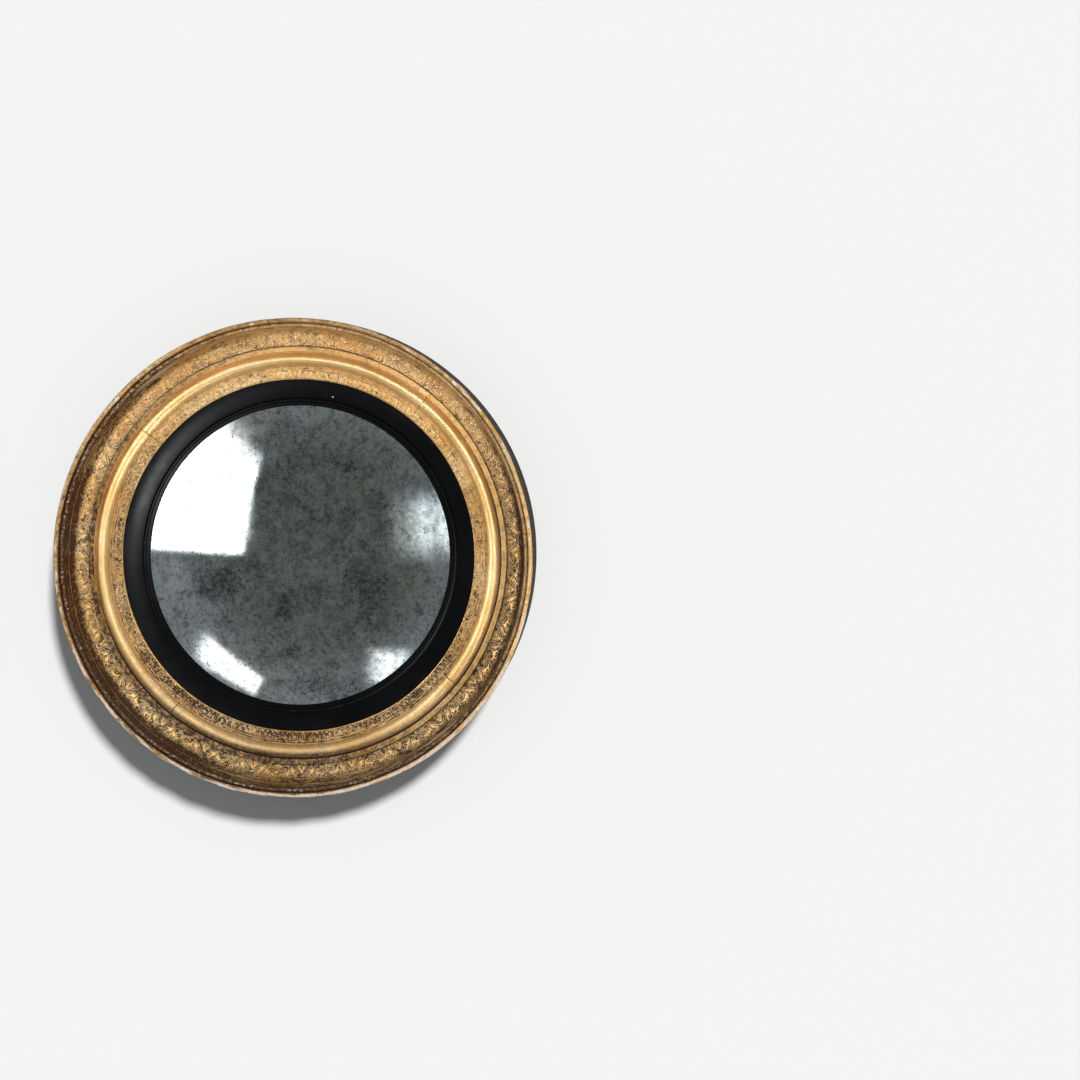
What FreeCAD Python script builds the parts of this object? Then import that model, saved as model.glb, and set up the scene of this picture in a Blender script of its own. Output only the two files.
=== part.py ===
"""Round convex wall mirror in a deep gilt moulding with an ebonised slip.

Millimetres, +Z up. The mirror's axis lies along Y and its front faces -Y. The origin is the
centre of the back plane, which rests on the wall. A place in the moulding is written as a
pair: its radius from the axis, and its height in front of the wall plane. Angles are counted
from +X towards +Z, which is anticlockwise to someone who looks at the glass.
"""
import FreeCAD, Part
import math
import os

Vector = FreeCAD.Vector

# ---- glass ------------------------------------------------------------------------------
sight_radius = 147.4            # what shows of the glass inside the slip
glass_cover = 5.1               # how far the slip covers the edge of the glass
glass_curve_radius = 480.0      # radius of the sphere that the front of the glass is part of
glass_thickness = 3.0
glass_edge_height = 20.1        # height of the front of the glass at its edge
silvering_thickness = 0.3
silvering_margin = 2.0          # bare border round the silvered back

# ---- ebonised slip ----------------------------------------------------------------------
sight_lip_thickness = 0.8
sight_bevel_width = 3.0
sight_bevel_rise = 1.5
slip_reed_radius = 2.0
slip_reed_sink = 1.4            # how far the reed's centre lies under the top of the bevel
slip_face_width = 17.6
slip_face_bulge = 0.9
slip_back_below_glass = 3.1     # from the front edge of the glass to the back of the slip

# ---- gilt moulding, from its inner lip outwards -----------------------------------------
lip_cover = 5.3                 # how far the frame's lip covers the slip
lip_underside_height = 28.5
band_height = 31.2              # floor under the tongue band and the half-round
tongue_band_width = 12.2
half_round_gap = 0.4            # small channel on each side of the half-round
half_round_width = 13.0
riser_width = 0.6
fillet_height = 35.7
fillet_width = 4.8
hollow_drop_width = 0.6
hollow_floor_height = 31.0
hollow_floor_width = 4.1
hollow_radius = 12.0
hollow_wall_batter = 0.8
rim_reed_width = 3.8
rim_reed_height = 58.4          # height of the reed's centre
rim_roll_width = 4.4
rim_roll_height = 63.1          # height of the roll's centre
side_batter = 2.9               # how much wider the frame is at its back than at its roll
side_foot_height = 10.0         # the side stands square to the wall up to here
back_chamfer = 2.0

# ---- courses of curved wooden segments --------------------------------------------------
segments_per_course = 4
back_course_height = 24.0
middle_course_height = 20.0
middle_joint_angle = 50.9       # the first butt joint of the middle course, in degrees
rim_stagger = -45.0             # the other courses' joints lie away from it, as in brickwork
back_stagger = -30.0
segment_joint_gap = 0.10        # width of the glue line between two segments

# ---- pressed ornament -------------------------------------------------------------------
leaf_repeats = 27
leaf_strips = 3
leaf_relief = 2.5
leaf_inner_margin = 0.3
leaf_cover_angle = 47.0         # how far the leaves climb the hollow, in degrees of its arc
leaf_notch_radius = 4.2
tongue_repeats = 114
tongue_strips = 3
tongue_relief = 1.9
tongue_margin = 0.4
tongue_notch_radius = 1.3
strip_joint_gap = 0.3

# ---- blocks and brad that hold the glass and the slip -----------------------------------
block_count = 8
block_first_angle = 78.2
block_width = 30.0
block_reach = 7.5               # how far a block goes in behind the glass
block_chamfer = 4.0
brad_radius = 0.7
brad_head_radius = 1.2
brad_head_thickness = 0.6
brad_length = 13.0
brad_inset = 12.9               # from the lip's edge to the brad

# ---- backboard and nails ----------------------------------------------------------------
backboard_thickness = 8.0
backboard_ledge = 4.9           # width of the ledge that the backboard rests on
plank_gap = 0.6
middle_plank_width = 128.0
nail_count = 12
nail_first_angle = 12.0
nail_radius = 0.9
nail_head_radius = 1.9
nail_head_thickness = 1.0
nail_length = 18.0
nail_sink = 0.4                 # how far the head lies under the back plane

# ---- hanger -----------------------------------------------------------------------------
pocket_width = 42.0
pocket_depth = 8.0
pocket_wall = 4.5               # wood left between the pocket and the frame's side
pocket_lip = 2.5                # wood left between the pocket and the backboard
pocket_margin = 0.8             # from the pocket's lower edge to the plate
plate_width = 34.0
plate_height = 14.0
plate_thickness = 1.5
knuckle_length = 11.0
knuckle_wall = 1.1
ring_wire_radius = 1.5
ring_half_width = 10.0          # to the centre line of the wire
ring_corner_radius = 3.5
ring_side_height = 12.0         # from the bar to where the round top starts
screw_offset = 12.0
screw_radius = 1.4
screw_head_radius = 2.8
screw_head_height = 1.3
screw_length = 13.0

# ---- clearances -------------------------------------------------------------------------
glass_clearance = 0.7           # between the edge of the glass and its rebate
seat_clearance = 0.05           # between a piece and the flat that it seats on
silvering_clearance = 0.02
slip_clearance = 0.5
block_clearance = 0.1
backboard_clearance = 0.8
nail_clearance = 0.03
screw_clearance = 0.03
ring_clearance = 0.05           # between the ring's bar and the inside of the knuckle
swing_clearance = 0.3           # between the ring's corners and the plate beside the knuckle

# ---- radii and heights worked out from the sizes above ----------------------------------
glass_radius = sight_radius + glass_cover
glass_centre_height = glass_edge_height - math.sqrt(glass_curve_radius**2 - glass_radius**2)


def glass_height(radius, curve_radius=glass_curve_radius):
    """Height of a sphere about the glass's own centre, at a distance from the axis."""
    return glass_centre_height + math.sqrt(curve_radius**2 - radius**2)


glass_back_edge_height = glass_height(glass_radius, glass_curve_radius - glass_thickness)
slip_rebate_radius = glass_radius + glass_clearance
slip_seat_height = glass_height(sight_radius) + seat_clearance
slip_back_height = glass_edge_height - slip_back_below_glass
bevel_outer_radius = sight_radius + sight_bevel_width
bevel_top_height = slip_seat_height + sight_lip_thickness + sight_bevel_rise
slip_reed_floor_height = bevel_top_height - slip_reed_sink
slip_reed_outer_radius = bevel_outer_radius + 2.0 * slip_reed_radius
lip_radius = slip_reed_outer_radius + slip_face_width
slip_outer_radius = lip_radius + lip_cover
bore_radius = slip_outer_radius + slip_clearance

band_outer_radius = lip_radius + tongue_band_width
half_round_inner_radius = band_outer_radius + half_round_gap
half_round_radius = half_round_width / 2.0
half_round_outer_radius = half_round_inner_radius + half_round_width
riser_foot_radius = half_round_outer_radius + half_round_gap
fillet_inner_radius = riser_foot_radius + riser_width
fillet_outer_radius = fillet_inner_radius + fillet_width
floor_inner_radius = fillet_outer_radius + hollow_drop_width
hollow_start_radius = floor_inner_radius + hollow_floor_width
hollow_centre_height = hollow_floor_height + hollow_radius
wall_foot_radius = hollow_start_radius + hollow_radius
wall_top_radius = wall_foot_radius + hollow_wall_batter
rim_reed_radius = rim_reed_width / 2.0
rim_roll_radius = rim_roll_width / 2.0
reed_outer_radius = wall_top_radius + rim_reed_width
roll_outer_radius = reed_outer_radius + rim_roll_width
outer_radius = roll_outer_radius + side_batter

middle_course_top = back_course_height + middle_course_height
wall_share = (middle_course_top - hollow_centre_height) / (rim_reed_height - hollow_centre_height)
wall_joint_radius = wall_foot_radius + hollow_wall_batter * wall_share
ledge_radius = bore_radius + backboard_ledge
backboard_radius = ledge_radius - backboard_clearance

knuckle_bore_radius = ring_wire_radius + ring_clearance
knuckle_outer_radius = knuckle_bore_radius + knuckle_wall
pocket_top = outer_radius - pocket_wall
pocket_bottom = ledge_radius + pocket_lip
plate_bottom = pocket_bottom + pocket_margin
knuckle_axis_z = plate_bottom + plate_height
knuckle_axis_height = pocket_depth - knuckle_outer_radius


# ---- drawing helpers --------------------------------------------------------------------
def place(point):
    """A (radius, height) pair as a point in the half-plane at angle 0."""
    return Vector(point[0], -point[1], 0.0)


def line(start, end):
    return Part.LineSegment(place(start), place(end)).toShape()


def arc(start, middle, end):
    return Part.Arc(place(start), place(middle), place(end)).toShape()


def outline(points):
    """Straight edges from point to point."""
    return [line(a, b) for a, b in zip(points, points[1:])]


def section(edges):
    return Part.Face(Part.Wire(edges))


def turn(shape, angle):
    """The shape, turned about the mirror's axis."""
    turned = shape.copy()
    turned.rotate(Vector(0, 0, 0), Vector(0, -1, 0), angle)
    return turned


def full_ring(face):
    return face.revolve(Vector(0, 0, 0), Vector(0, -1, 0), 360)


def ring_part(face, start_angle, end_angle):
    body = face.revolve(Vector(0, 0, 0), Vector(0, -1, 0), end_angle - start_angle)
    return turn(body, start_angle)


def rod(radius, base, direction, length):
    return Part.makeCylinder(radius, length, base, direction)


def on_face(radius, height, angle):
    """A point at a radius, a height in front of the wall and an angle about the axis."""
    point = Vector(radius, -height, 0.0)
    return FreeCAD.Rotation(Vector(0, -1, 0), angle).multVec(point)


def save(name, shape):
    shape.exportStep(os.path.join("parts", name + ".step"))
    print(f"{name}: {len(shape.Solids)} solid(s), {shape.Volume / 1000:.1f} cm3")


def side_radius(height):
    """Radius of the frame's side, which leans in from its foot to the roll."""
    lean = (height - side_foot_height) / (rim_roll_height - side_foot_height)
    return outer_radius - side_batter * lean


# ---- sections of the moulding -----------------------------------------------------------
def back_course_section():
    return section(outline([
        (bore_radius, backboard_thickness),
        (bore_radius, back_course_height),
        (side_radius(back_course_height), back_course_height),
        (outer_radius, side_foot_height),
        (outer_radius, back_chamfer),
        (outer_radius - back_chamfer, 0.0),
        (ledge_radius, 0.0),
        (ledge_radius, backboard_thickness),
        (bore_radius, backboard_thickness),
    ]))


def middle_course_section():
    half_round_centre = half_round_inner_radius + half_round_radius
    hollow_middle = (
        hollow_start_radius + hollow_radius * math.sin(math.radians(45)),
        hollow_centre_height - hollow_radius * math.cos(math.radians(45)),
    )
    edges = outline([
        (bore_radius, back_course_height),
        (bore_radius, lip_underside_height),
        (lip_radius, lip_underside_height),
        (lip_radius, band_height),
        (half_round_inner_radius, band_height),
    ])
    edges.append(arc(
        (half_round_inner_radius, band_height),
        (half_round_centre, band_height + half_round_radius),
        (half_round_outer_radius, band_height),
    ))
    edges += outline([
        (half_round_outer_radius, band_height),
        (riser_foot_radius, band_height),
        (fillet_inner_radius, fillet_height),
        (fillet_outer_radius, fillet_height),
        (floor_inner_radius, hollow_floor_height),
        (hollow_start_radius, hollow_floor_height),
    ])
    edges.append(arc(
        (hollow_start_radius, hollow_floor_height),
        hollow_middle,
        (wall_foot_radius, hollow_centre_height),
    ))
    edges += outline([
        (wall_foot_radius, hollow_centre_height),
        (wall_joint_radius, middle_course_top),
        (side_radius(middle_course_top), middle_course_top),
        (side_radius(back_course_height), back_course_height),
        (bore_radius, back_course_height),
    ])
    return section(edges)


def rim_course_section():
    edges = [line((wall_joint_radius, middle_course_top), (wall_top_radius, rim_reed_height))]
    edges.append(arc(
        (wall_top_radius, rim_reed_height),
        (wall_top_radius + rim_reed_radius, rim_reed_height + rim_reed_radius),
        (reed_outer_radius, rim_reed_height),
    ))
    edges.append(line((reed_outer_radius, rim_reed_height), (reed_outer_radius, rim_roll_height)))
    edges.append(arc(
        (reed_outer_radius, rim_roll_height),
        (reed_outer_radius + rim_roll_radius, rim_roll_height + rim_roll_radius),
        (roll_outer_radius, rim_roll_height),
    ))
    edges += outline([
        (roll_outer_radius, rim_roll_height),
        (side_radius(middle_course_top), middle_course_top),
        (wall_joint_radius, middle_course_top),
    ])
    return section(edges)


def course(face, mean_radius, first_joint):
    """The segments of one course, each a little short of its joints."""
    span = 360.0 / segments_per_course
    half_gap = math.degrees(segment_joint_gap / 2.0 / mean_radius)
    pieces = []
    for index in range(segments_per_course):
        start = first_joint + index * span
        pieces.append(ring_part(face, start + half_gap, start + span - half_gap))
    return pieces


# ---- slip, glass and silvering ----------------------------------------------------------
def slip():
    reed_centre = bevel_outer_radius + slip_reed_radius
    face_middle = (
        (slip_reed_outer_radius + lip_radius) / 2.0,
        (slip_reed_floor_height + lip_underside_height) / 2.0 + slip_face_bulge,
    )
    edges = outline([
        (slip_rebate_radius, slip_back_height),
        (slip_rebate_radius, slip_seat_height),
        (sight_radius, slip_seat_height),
        (sight_radius, slip_seat_height + sight_lip_thickness),
        (bevel_outer_radius, bevel_top_height),
        (bevel_outer_radius, slip_reed_floor_height),
    ])
    edges.append(arc(
        (bevel_outer_radius, slip_reed_floor_height),
        (reed_centre, slip_reed_floor_height + slip_reed_radius),
        (slip_reed_outer_radius, slip_reed_floor_height),
    ))
    edges.append(arc(
        (slip_reed_outer_radius, slip_reed_floor_height),
        face_middle,
        (lip_radius, lip_underside_height),
    ))
    edges += outline([
        (lip_radius, lip_underside_height),
        (slip_outer_radius, lip_underside_height),
        (slip_outer_radius, slip_back_height),
        (slip_rebate_radius, slip_back_height),
    ])
    return full_ring(section(edges)).cut(brad(nail_clearance))


def dome(front_radius, back_radius, edge_radius):
    """The part of a hollow sphere about the glass's centre that lies within a cylinder."""
    def face_arc(curve_radius):
        half = glass_height(edge_radius / 2.0, curve_radius)
        edge = glass_height(edge_radius, curve_radius)
        top = glass_centre_height + curve_radius
        return (0.0, top), (edge_radius / 2.0, half), (edge_radius, edge)

    front_top, front_middle, front_edge = face_arc(front_radius)
    back_top, back_middle, back_edge = face_arc(back_radius)
    return full_ring(section([
        arc(front_top, front_middle, front_edge),
        line(front_edge, back_edge),
        arc(back_edge, back_middle, back_top),
        line(back_top, front_top),
    ]))


def glass():
    return dome(glass_curve_radius, glass_curve_radius - glass_thickness, glass_radius)


def silvering():
    front = glass_curve_radius - glass_thickness - silvering_clearance
    return dome(front, front - silvering_thickness, glass_radius - silvering_margin)


# ---- pressed ornament -------------------------------------------------------------------
def hollow_point(radius, angle):
    """A point on an arc about the hollow's centre, counted up from its floor."""
    return (
        hollow_start_radius + radius * math.sin(math.radians(angle)),
        hollow_centre_height - radius * math.cos(math.radians(angle)),
    )


def leaf_section():
    face_radius = hollow_radius - leaf_relief
    inner = floor_inner_radius + leaf_inner_margin
    return section([
        line((inner, hollow_floor_height), (hollow_start_radius, hollow_floor_height)),
        arc(
            hollow_point(hollow_radius, 0.0),
            hollow_point(hollow_radius, leaf_cover_angle / 2.0),
            hollow_point(hollow_radius, leaf_cover_angle),
        ),
        line(
            hollow_point(hollow_radius, leaf_cover_angle),
            hollow_point(face_radius, leaf_cover_angle),
        ),
        arc(
            hollow_point(face_radius, leaf_cover_angle),
            hollow_point(face_radius, leaf_cover_angle / 2.0),
            hollow_point(face_radius, 0.0),
        ),
        line(hollow_point(face_radius, 0.0), (inner, hollow_floor_height + leaf_relief)),
        line((inner, hollow_floor_height + leaf_relief), (inner, hollow_floor_height)),
    ])


def leaf_strip(index):
    """A strip of the large leaf band, with a notched outer edge."""
    span = 360.0 / leaf_strips
    half_gap = math.degrees(strip_joint_gap / 2.0 / hollow_start_radius)
    start = middle_joint_angle + index * span
    strip = ring_part(leaf_section(), start + half_gap, start + span - half_gap)
    pitch = 360.0 / leaf_repeats
    tip_radius = hollow_point(hollow_radius, leaf_cover_angle)[0]
    notches = []
    for number in range(leaf_repeats // leaf_strips):
        foot = on_face(tip_radius, hollow_floor_height, start + (number + 0.5) * pitch)
        notches.append(rod(leaf_notch_radius, foot, Vector(0, -1, 0), hollow_radius))
    return strip.cut(notches)


def tongue_section():
    inner = lip_radius + tongue_margin
    outer = band_outer_radius - tongue_margin
    middle = (inner + outer) / 2.0
    return section([
        line((outer, band_height), (inner, band_height)),
        arc((inner, band_height), (middle, band_height + tongue_relief), (outer, band_height)),
    ])


def tongue_strip(index):
    """A strip of the small band, with a channel between each two tongues."""
    span = 360.0 / tongue_strips
    middle_radius = lip_radius + tongue_band_width / 2.0
    half_gap = math.degrees(strip_joint_gap / 2.0 / middle_radius)
    start = middle_joint_angle + index * span
    strip = ring_part(tongue_section(), start + half_gap, start + span - half_gap)
    pitch = 360.0 / tongue_repeats
    channel_height = band_height + tongue_relief
    channels = []
    for number in range(tongue_repeats // tongue_strips):
        angle = start + (number + 0.5) * pitch
        foot = on_face(lip_radius, channel_height, angle)
        outward = on_face(1.0, 0.0, angle)
        channels.append(rod(tongue_notch_radius, foot, outward, tongue_band_width))
    return strip.cut(channels)


# ---- blocks, brad, backboard and nails --------------------------------------------------
def brad(clearance):
    """The brad through the face of the slip, driven in from the front."""
    radius = lip_radius - brad_inset
    head_top = lip_underside_height - brad_inset * brad_face_slope() + brad_head_thickness
    foot = on_face(radius, head_top - brad_length, block_first_angle)
    shank = rod(brad_radius + clearance, foot, Vector(0, -1, 0), brad_length)
    head_foot = on_face(radius, head_top - brad_head_thickness, block_first_angle)
    head = rod(brad_head_radius + clearance, head_foot, Vector(0, -1, 0), brad_head_thickness)
    return shank.fuse(head)


def brad_face_slope():
    return (lip_underside_height - slip_reed_floor_height) / slip_face_width


def blocks():
    """Softwood blocks glued behind the slip, which keep the glass in its rebate."""
    top = min(glass_back_edge_height, slip_back_height) - seat_clearance
    bottom = backboard_thickness + block_clearance
    inner = glass_radius - block_reach
    outer = bore_radius - block_clearance
    tall = section(outline([
        (inner, top),
        (outer, top),
        (outer, bottom),
        (inner + block_chamfer, bottom),
        (inner, bottom + block_chamfer),
        (inner, top),
    ]))
    half_span = math.degrees(block_width / 2.0 / outer)
    solids = []
    for index in range(block_count):
        angle = block_first_angle + index * 360.0 / block_count
        solids.append(ring_part(tall, angle - half_span, angle + half_span))
    group = Part.makeCompound(solids)
    return group.cut(brad(nail_clearance))


def nails(clearance):
    """Cut nails through the backboard into the ledge, with their heads a little sunk."""
    radius = (bore_radius + backboard_radius) / 2.0
    solids = []
    for index in range(nail_count):
        angle = nail_first_angle + index * 360.0 / nail_count
        top = on_face(radius, nail_sink, angle)
        shank = rod(nail_radius + clearance, top, Vector(0, -1, 0), nail_length)
        head = rod(nail_head_radius + clearance, top, Vector(0, -1, 0), nail_head_thickness)
        solids.append(shank.fuse(head))
    return solids


def nail_holes():
    """The nails and the sunk place over each head, with clearance."""
    holes = nails(nail_clearance)
    radius = (bore_radius + backboard_radius) / 2.0
    for index in range(nail_count):
        angle = nail_first_angle + index * 360.0 / nail_count
        mouth = on_face(radius, 0.0, angle)
        holes.append(rod(nail_head_radius + nail_clearance, mouth, Vector(0, -1, 0), nail_sink))
    return holes


def planks():
    disc = rod(backboard_radius, Vector(0, 0, 0), Vector(0, -1, 0), backboard_thickness)
    disc = disc.cut(nail_holes())
    half = middle_plank_width / 2.0
    edges = [-backboard_radius, -half, half, backboard_radius]
    names = ["backboard_left", "backboard_middle", "backboard_right"]
    result = {}
    for name, low, high in zip(names, edges, edges[1:]):
        left = low + plank_gap / 2.0
        width = high - low - plank_gap
        corner = Vector(left, -backboard_thickness, -backboard_radius)
        board = Part.makeBox(width, backboard_thickness, 2.0 * backboard_radius, corner)
        result[name] = disc.common(board)
    return result


# ---- hanger -----------------------------------------------------------------------------
def hanger_pocket():
    corner = Vector(-pocket_width / 2.0, -pocket_depth, pocket_bottom)
    return Part.makeBox(pocket_width, pocket_depth, pocket_top - pocket_bottom, corner)


def hanger_screws(clearance):
    solids = []
    for side in (-1, 1):
        x = side * screw_offset
        z = plate_bottom + plate_height / 2.0
        seat = Vector(x, -(pocket_depth - plate_thickness), z)
        shank = rod(screw_radius + clearance, seat, Vector(0, -1, 0), screw_length)
        head = rod(screw_head_radius, seat, Vector(0, 1, 0), screw_head_height)
        solids.append(shank.fuse(head))
    return solids


def hanger_plate():
    corner = Vector(-plate_width / 2.0, -pocket_depth, plate_bottom)
    plate = Part.makeBox(plate_width, plate_thickness, plate_height, corner)
    relief_reach = ring_half_width + ring_wire_radius + swing_clearance
    relief_start = Vector(-relief_reach, -knuckle_axis_height, knuckle_axis_z)
    relief_radius = ring_wire_radius + swing_clearance
    plate = plate.cut(rod(relief_radius, relief_start, Vector(1, 0, 0), 2.0 * relief_reach))
    start = Vector(-knuckle_length / 2.0, -knuckle_axis_height, knuckle_axis_z)
    knuckle = rod(knuckle_outer_radius, start, Vector(1, 0, 0), knuckle_length)
    bore = rod(knuckle_bore_radius, start, Vector(1, 0, 0), knuckle_length)
    return plate.fuse(knuckle).cut(bore).cut(hanger_screws(screw_clearance)).removeSplitter()


def hanger_ring():
    def spot(x, rise):
        return Vector(x, -knuckle_axis_height, knuckle_axis_z + rise)

    def side_line(a, b):
        return Part.LineSegment(a, b).toShape()

    def side_arc(a, b, c):
        return Part.Arc(a, b, c).toShape()

    wide = ring_half_width
    corner = ring_corner_radius
    soft = corner * (1.0 - math.sqrt(0.5))
    path = Part.Wire([
        side_line(spot(-wide + corner, 0), spot(wide - corner, 0)),
        side_arc(spot(wide - corner, 0), spot(wide - soft, soft), spot(wide, corner)),
        side_line(spot(wide, corner), spot(wide, ring_side_height)),
        side_arc(
            spot(wide, ring_side_height),
            spot(0, ring_side_height + wide),
            spot(-wide, ring_side_height),
        ),
        side_line(spot(-wide, ring_side_height), spot(-wide, corner)),
        side_arc(spot(-wide, corner), spot(-wide + soft, soft), spot(-wide + corner, 0)),
    ])
    start = spot(-wide + corner, 0)
    wire_section = Part.Wire(Part.makeCircle(ring_wire_radius, start, Vector(1, 0, 0)))
    return path.makePipeShell([wire_section], True, True)


# ---- build ------------------------------------------------------------------------------
def main():
    os.makedirs("parts", exist_ok=True)
    back_holes = nail_holes() + hanger_screws(screw_clearance) + [hanger_pocket()]
    back_joint = middle_joint_angle + back_stagger
    for index, piece in enumerate(course(back_course_section(), ledge_radius, back_joint)):
        save(f"back_segment_{index + 1}", piece.cut(back_holes))
    middle_face = middle_course_section()
    for index, piece in enumerate(course(middle_face, fillet_inner_radius, middle_joint_angle)):
        save(f"middle_segment_{index + 1}", piece)
    rim_joint = middle_joint_angle + rim_stagger
    for index, piece in enumerate(course(rim_course_section(), roll_outer_radius, rim_joint)):
        save(f"rim_segment_{index + 1}", piece)
    for index in range(leaf_strips):
        save(f"leaf_strip_{index + 1}", leaf_strip(index))
    for index in range(tongue_strips):
        save(f"tongue_strip_{index + 1}", tongue_strip(index))
    save("ebonised_slip", slip())
    save("slip_brad", brad(0.0))
    save("convex_glass", glass())
    save("silvering", silvering())
    save("glass_blocks", blocks())
    for name, plank in planks().items():
        save(name, plank)
    save("backboard_nails", Part.makeCompound(nails(0.0)))
    save("hanger_plate", hanger_plate())
    save("hanger_screws", Part.makeCompound(hanger_screws(0.0)))
    save("hanger_ring", hanger_ring())
    print(f"overall diameter {2 * outer_radius:.1f}, depth {rim_roll_height + rim_roll_radius:.1f}")


main()
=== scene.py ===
"""Round convex wall mirror in an old gilt moulding, on a pale wall.

Sizes are in millimetres and become metres when a mesh is made. A place in the moulding is a pair,
its radius from the mirror's axis and its height in front of the wall. Angles are in degrees from
+X towards +Z, which is anticlockwise to someone who looks at the glass.
"""
import math

import bpy
import numpy as np
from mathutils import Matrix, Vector


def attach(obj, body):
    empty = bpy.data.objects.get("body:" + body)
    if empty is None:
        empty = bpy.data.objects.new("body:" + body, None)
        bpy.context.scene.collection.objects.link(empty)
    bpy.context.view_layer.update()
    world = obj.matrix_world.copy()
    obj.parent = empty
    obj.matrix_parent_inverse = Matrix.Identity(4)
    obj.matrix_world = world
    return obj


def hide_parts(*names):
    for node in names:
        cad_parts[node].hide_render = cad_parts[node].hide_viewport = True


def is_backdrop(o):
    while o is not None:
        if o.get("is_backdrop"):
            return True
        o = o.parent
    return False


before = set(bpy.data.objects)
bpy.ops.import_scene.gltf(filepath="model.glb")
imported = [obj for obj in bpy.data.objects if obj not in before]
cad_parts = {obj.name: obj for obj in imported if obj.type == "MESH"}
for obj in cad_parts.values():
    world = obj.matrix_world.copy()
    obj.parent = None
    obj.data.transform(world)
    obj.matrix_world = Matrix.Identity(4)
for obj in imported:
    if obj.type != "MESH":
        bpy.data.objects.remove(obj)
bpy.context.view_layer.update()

MM = 0.001
SEED = 1815

# ---- sizes of the glass and the ebonised slip ------------------------
GLASS_RADIUS = 152.5
GLASS_CURVE = 480.0
GLASS_EDGE_HEIGHT = 20.1
GLASS_THICKNESS = 3.0
SIGHT_RADIUS = 147.4
SLIP_LIP_HEIGHT = 22.7
SLIP_BEVEL = (150.4, 24.15)
SLIP_REED_RADIUS = 2.0
SLIP_REED_SINK = 1.4
SLIP_FACE_BULGE = 0.9
SLIP_OUTER_RADIUS = 177.3
SLIP_BACK_HEIGHT = 17.0
SLIP_REBATE_RADIUS = 153.2

# ---- sizes of the gilt moulding, from its inner lip outwards ---------
BORE_RADIUS = 177.8
LIP_RADIUS = 172.0
LIP_UNDERSIDE = 28.5
BAND_HEIGHT = 31.2
BAND_OUTER_RADIUS = 184.2
HALF_ROUND_INNER = 184.6
HALF_ROUND_RADIUS = 6.5
HALF_ROUND_OUTER = HALF_ROUND_INNER + 2.0 * HALF_ROUND_RADIUS
CHANNEL_WIDTH = 0.4
CHANNEL_FILL_ANGLE = 14.0       # gesso has filled the foot of the half-round up to here
FILLET_INNER = 198.6
FILLET_OUTER = 203.4
FILLET_HEIGHT = 35.7
FLOOR_INNER = 204.0
FLOOR_HEIGHT = 31.0
HOLLOW_START = 208.1
HOLLOW_RADIUS = 12.0
WALL_FOOT = 220.1
WALL_TOP = 220.9
WALL_JOINT = 220.15
REED_HEIGHT = 58.4
REED_RADIUS = 1.9
REED_OUTER = WALL_TOP + 2.0 * REED_RADIUS
ROLL_HEIGHT = 63.1
ROLL_RADIUS = 2.2
BACK_COURSE_TOP = 24.0
MIDDLE_COURSE_TOP = 44.0
OUTER_RADIUS = 232.0
SIDE_BATTER = 2.9
SIDE_FOOT_HEIGHT = 10.0

# ---- joints and ornament ---------------------------------------------
MIDDLE_JOINT_ANGLE = 50.9
RIM_JOINT_ANGLE = 5.9
MIDDLE_CRACK = 0.26             # how wide the old glue lines have opened
RIM_CRACK = 0.20
MIDDLE_MEAN_RADIUS = 190.0
RIM_MEAN_RADIUS = 226.0
MIDDLE_STEP = 0.20              # degrees from one column of a course's mesh to the next
RIM_STEP = 0.17
LEAF_REPEATS = 27
LEAF_STRIPS = 3
LEAF_MARGIN = 0.3
LEAF_COVER_ANGLE = 47.0
LEAF_RELIEF = 2.5
TONGUE_REPEATS = 114
TONGUE_STRIPS = 3
TONGUE_RELIEF = 1.9
TONGUE_MARGIN = 0.4
STRIP_GAP = 0.3
GRID_STEP = 0.3                 # how far apart the ornament's points lie across its band
BEND_REACH = 1.6                # how far to either side an outline's bend is measured
TRUE_BELOW = 20.0               # the frame is true up to here, and out of true from DRIFT_FULL on
DRIFT_FULL = 30.0


# ---- numbers for hand-made unevenness --------------------------------
def smoothstep(low, high, value):
    share = np.clip((value - low) / (high - low), 0.0, 1.0)
    return share * share * (3.0 - 2.0 * share)


def blur(field, size):
    """A field on a grid, blurred by a number of cells along each axis; it wraps round at its edges."""
    across = np.fft.fftfreq(field.shape[0])[:, None] * size[0]
    along = np.fft.rfftfreq(field.shape[1])[None, :] * size[1]
    fade = np.exp(-2.0 * math.pi ** 2 * (across ** 2 + along ** 2))
    return np.fft.irfft2(np.fft.rfft2(field) * fade, field.shape)


def soft_noise(shape, size, seed):
    """Smooth random field on a grid, with unit deviation; size is the blur in cells of each axis."""
    field = blur(np.random.default_rng(SEED + seed).standard_normal(shape), size)
    return field / field.std()


def soften(field, size):
    """A blurred field whose second axis doesn't wrap round."""
    mirrored = np.pad(field, ((0, 0), (0, field.shape[1])), mode="symmetric")
    return blur(mirrored, size)[:, :field.shape[1]]


def ring_noise(angles, period, seed):
    """Smooth random line round the frame, with about unit deviation; period is in degrees."""
    rng = np.random.default_rng(SEED + seed)
    total = np.zeros_like(angles)
    weight = 0.0
    for harmonic in range(1, int(360.0 / period) + 1):
        phase = rng.uniform(0.0, 2.0 * math.pi)
        strength = rng.uniform(0.4, 1.0)
        total += strength * np.sin(np.radians(angles) * harmonic + phase)
        weight += strength ** 2 / 2.0
    return total / math.sqrt(weight)


def facing(angles, towards, sharpness=1.0):
    """From 0 on the far side of the ring to 1 on the side at the angle."""
    return (0.5 + 0.5 * np.cos(np.radians(angles - towards))) ** sharpness


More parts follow.
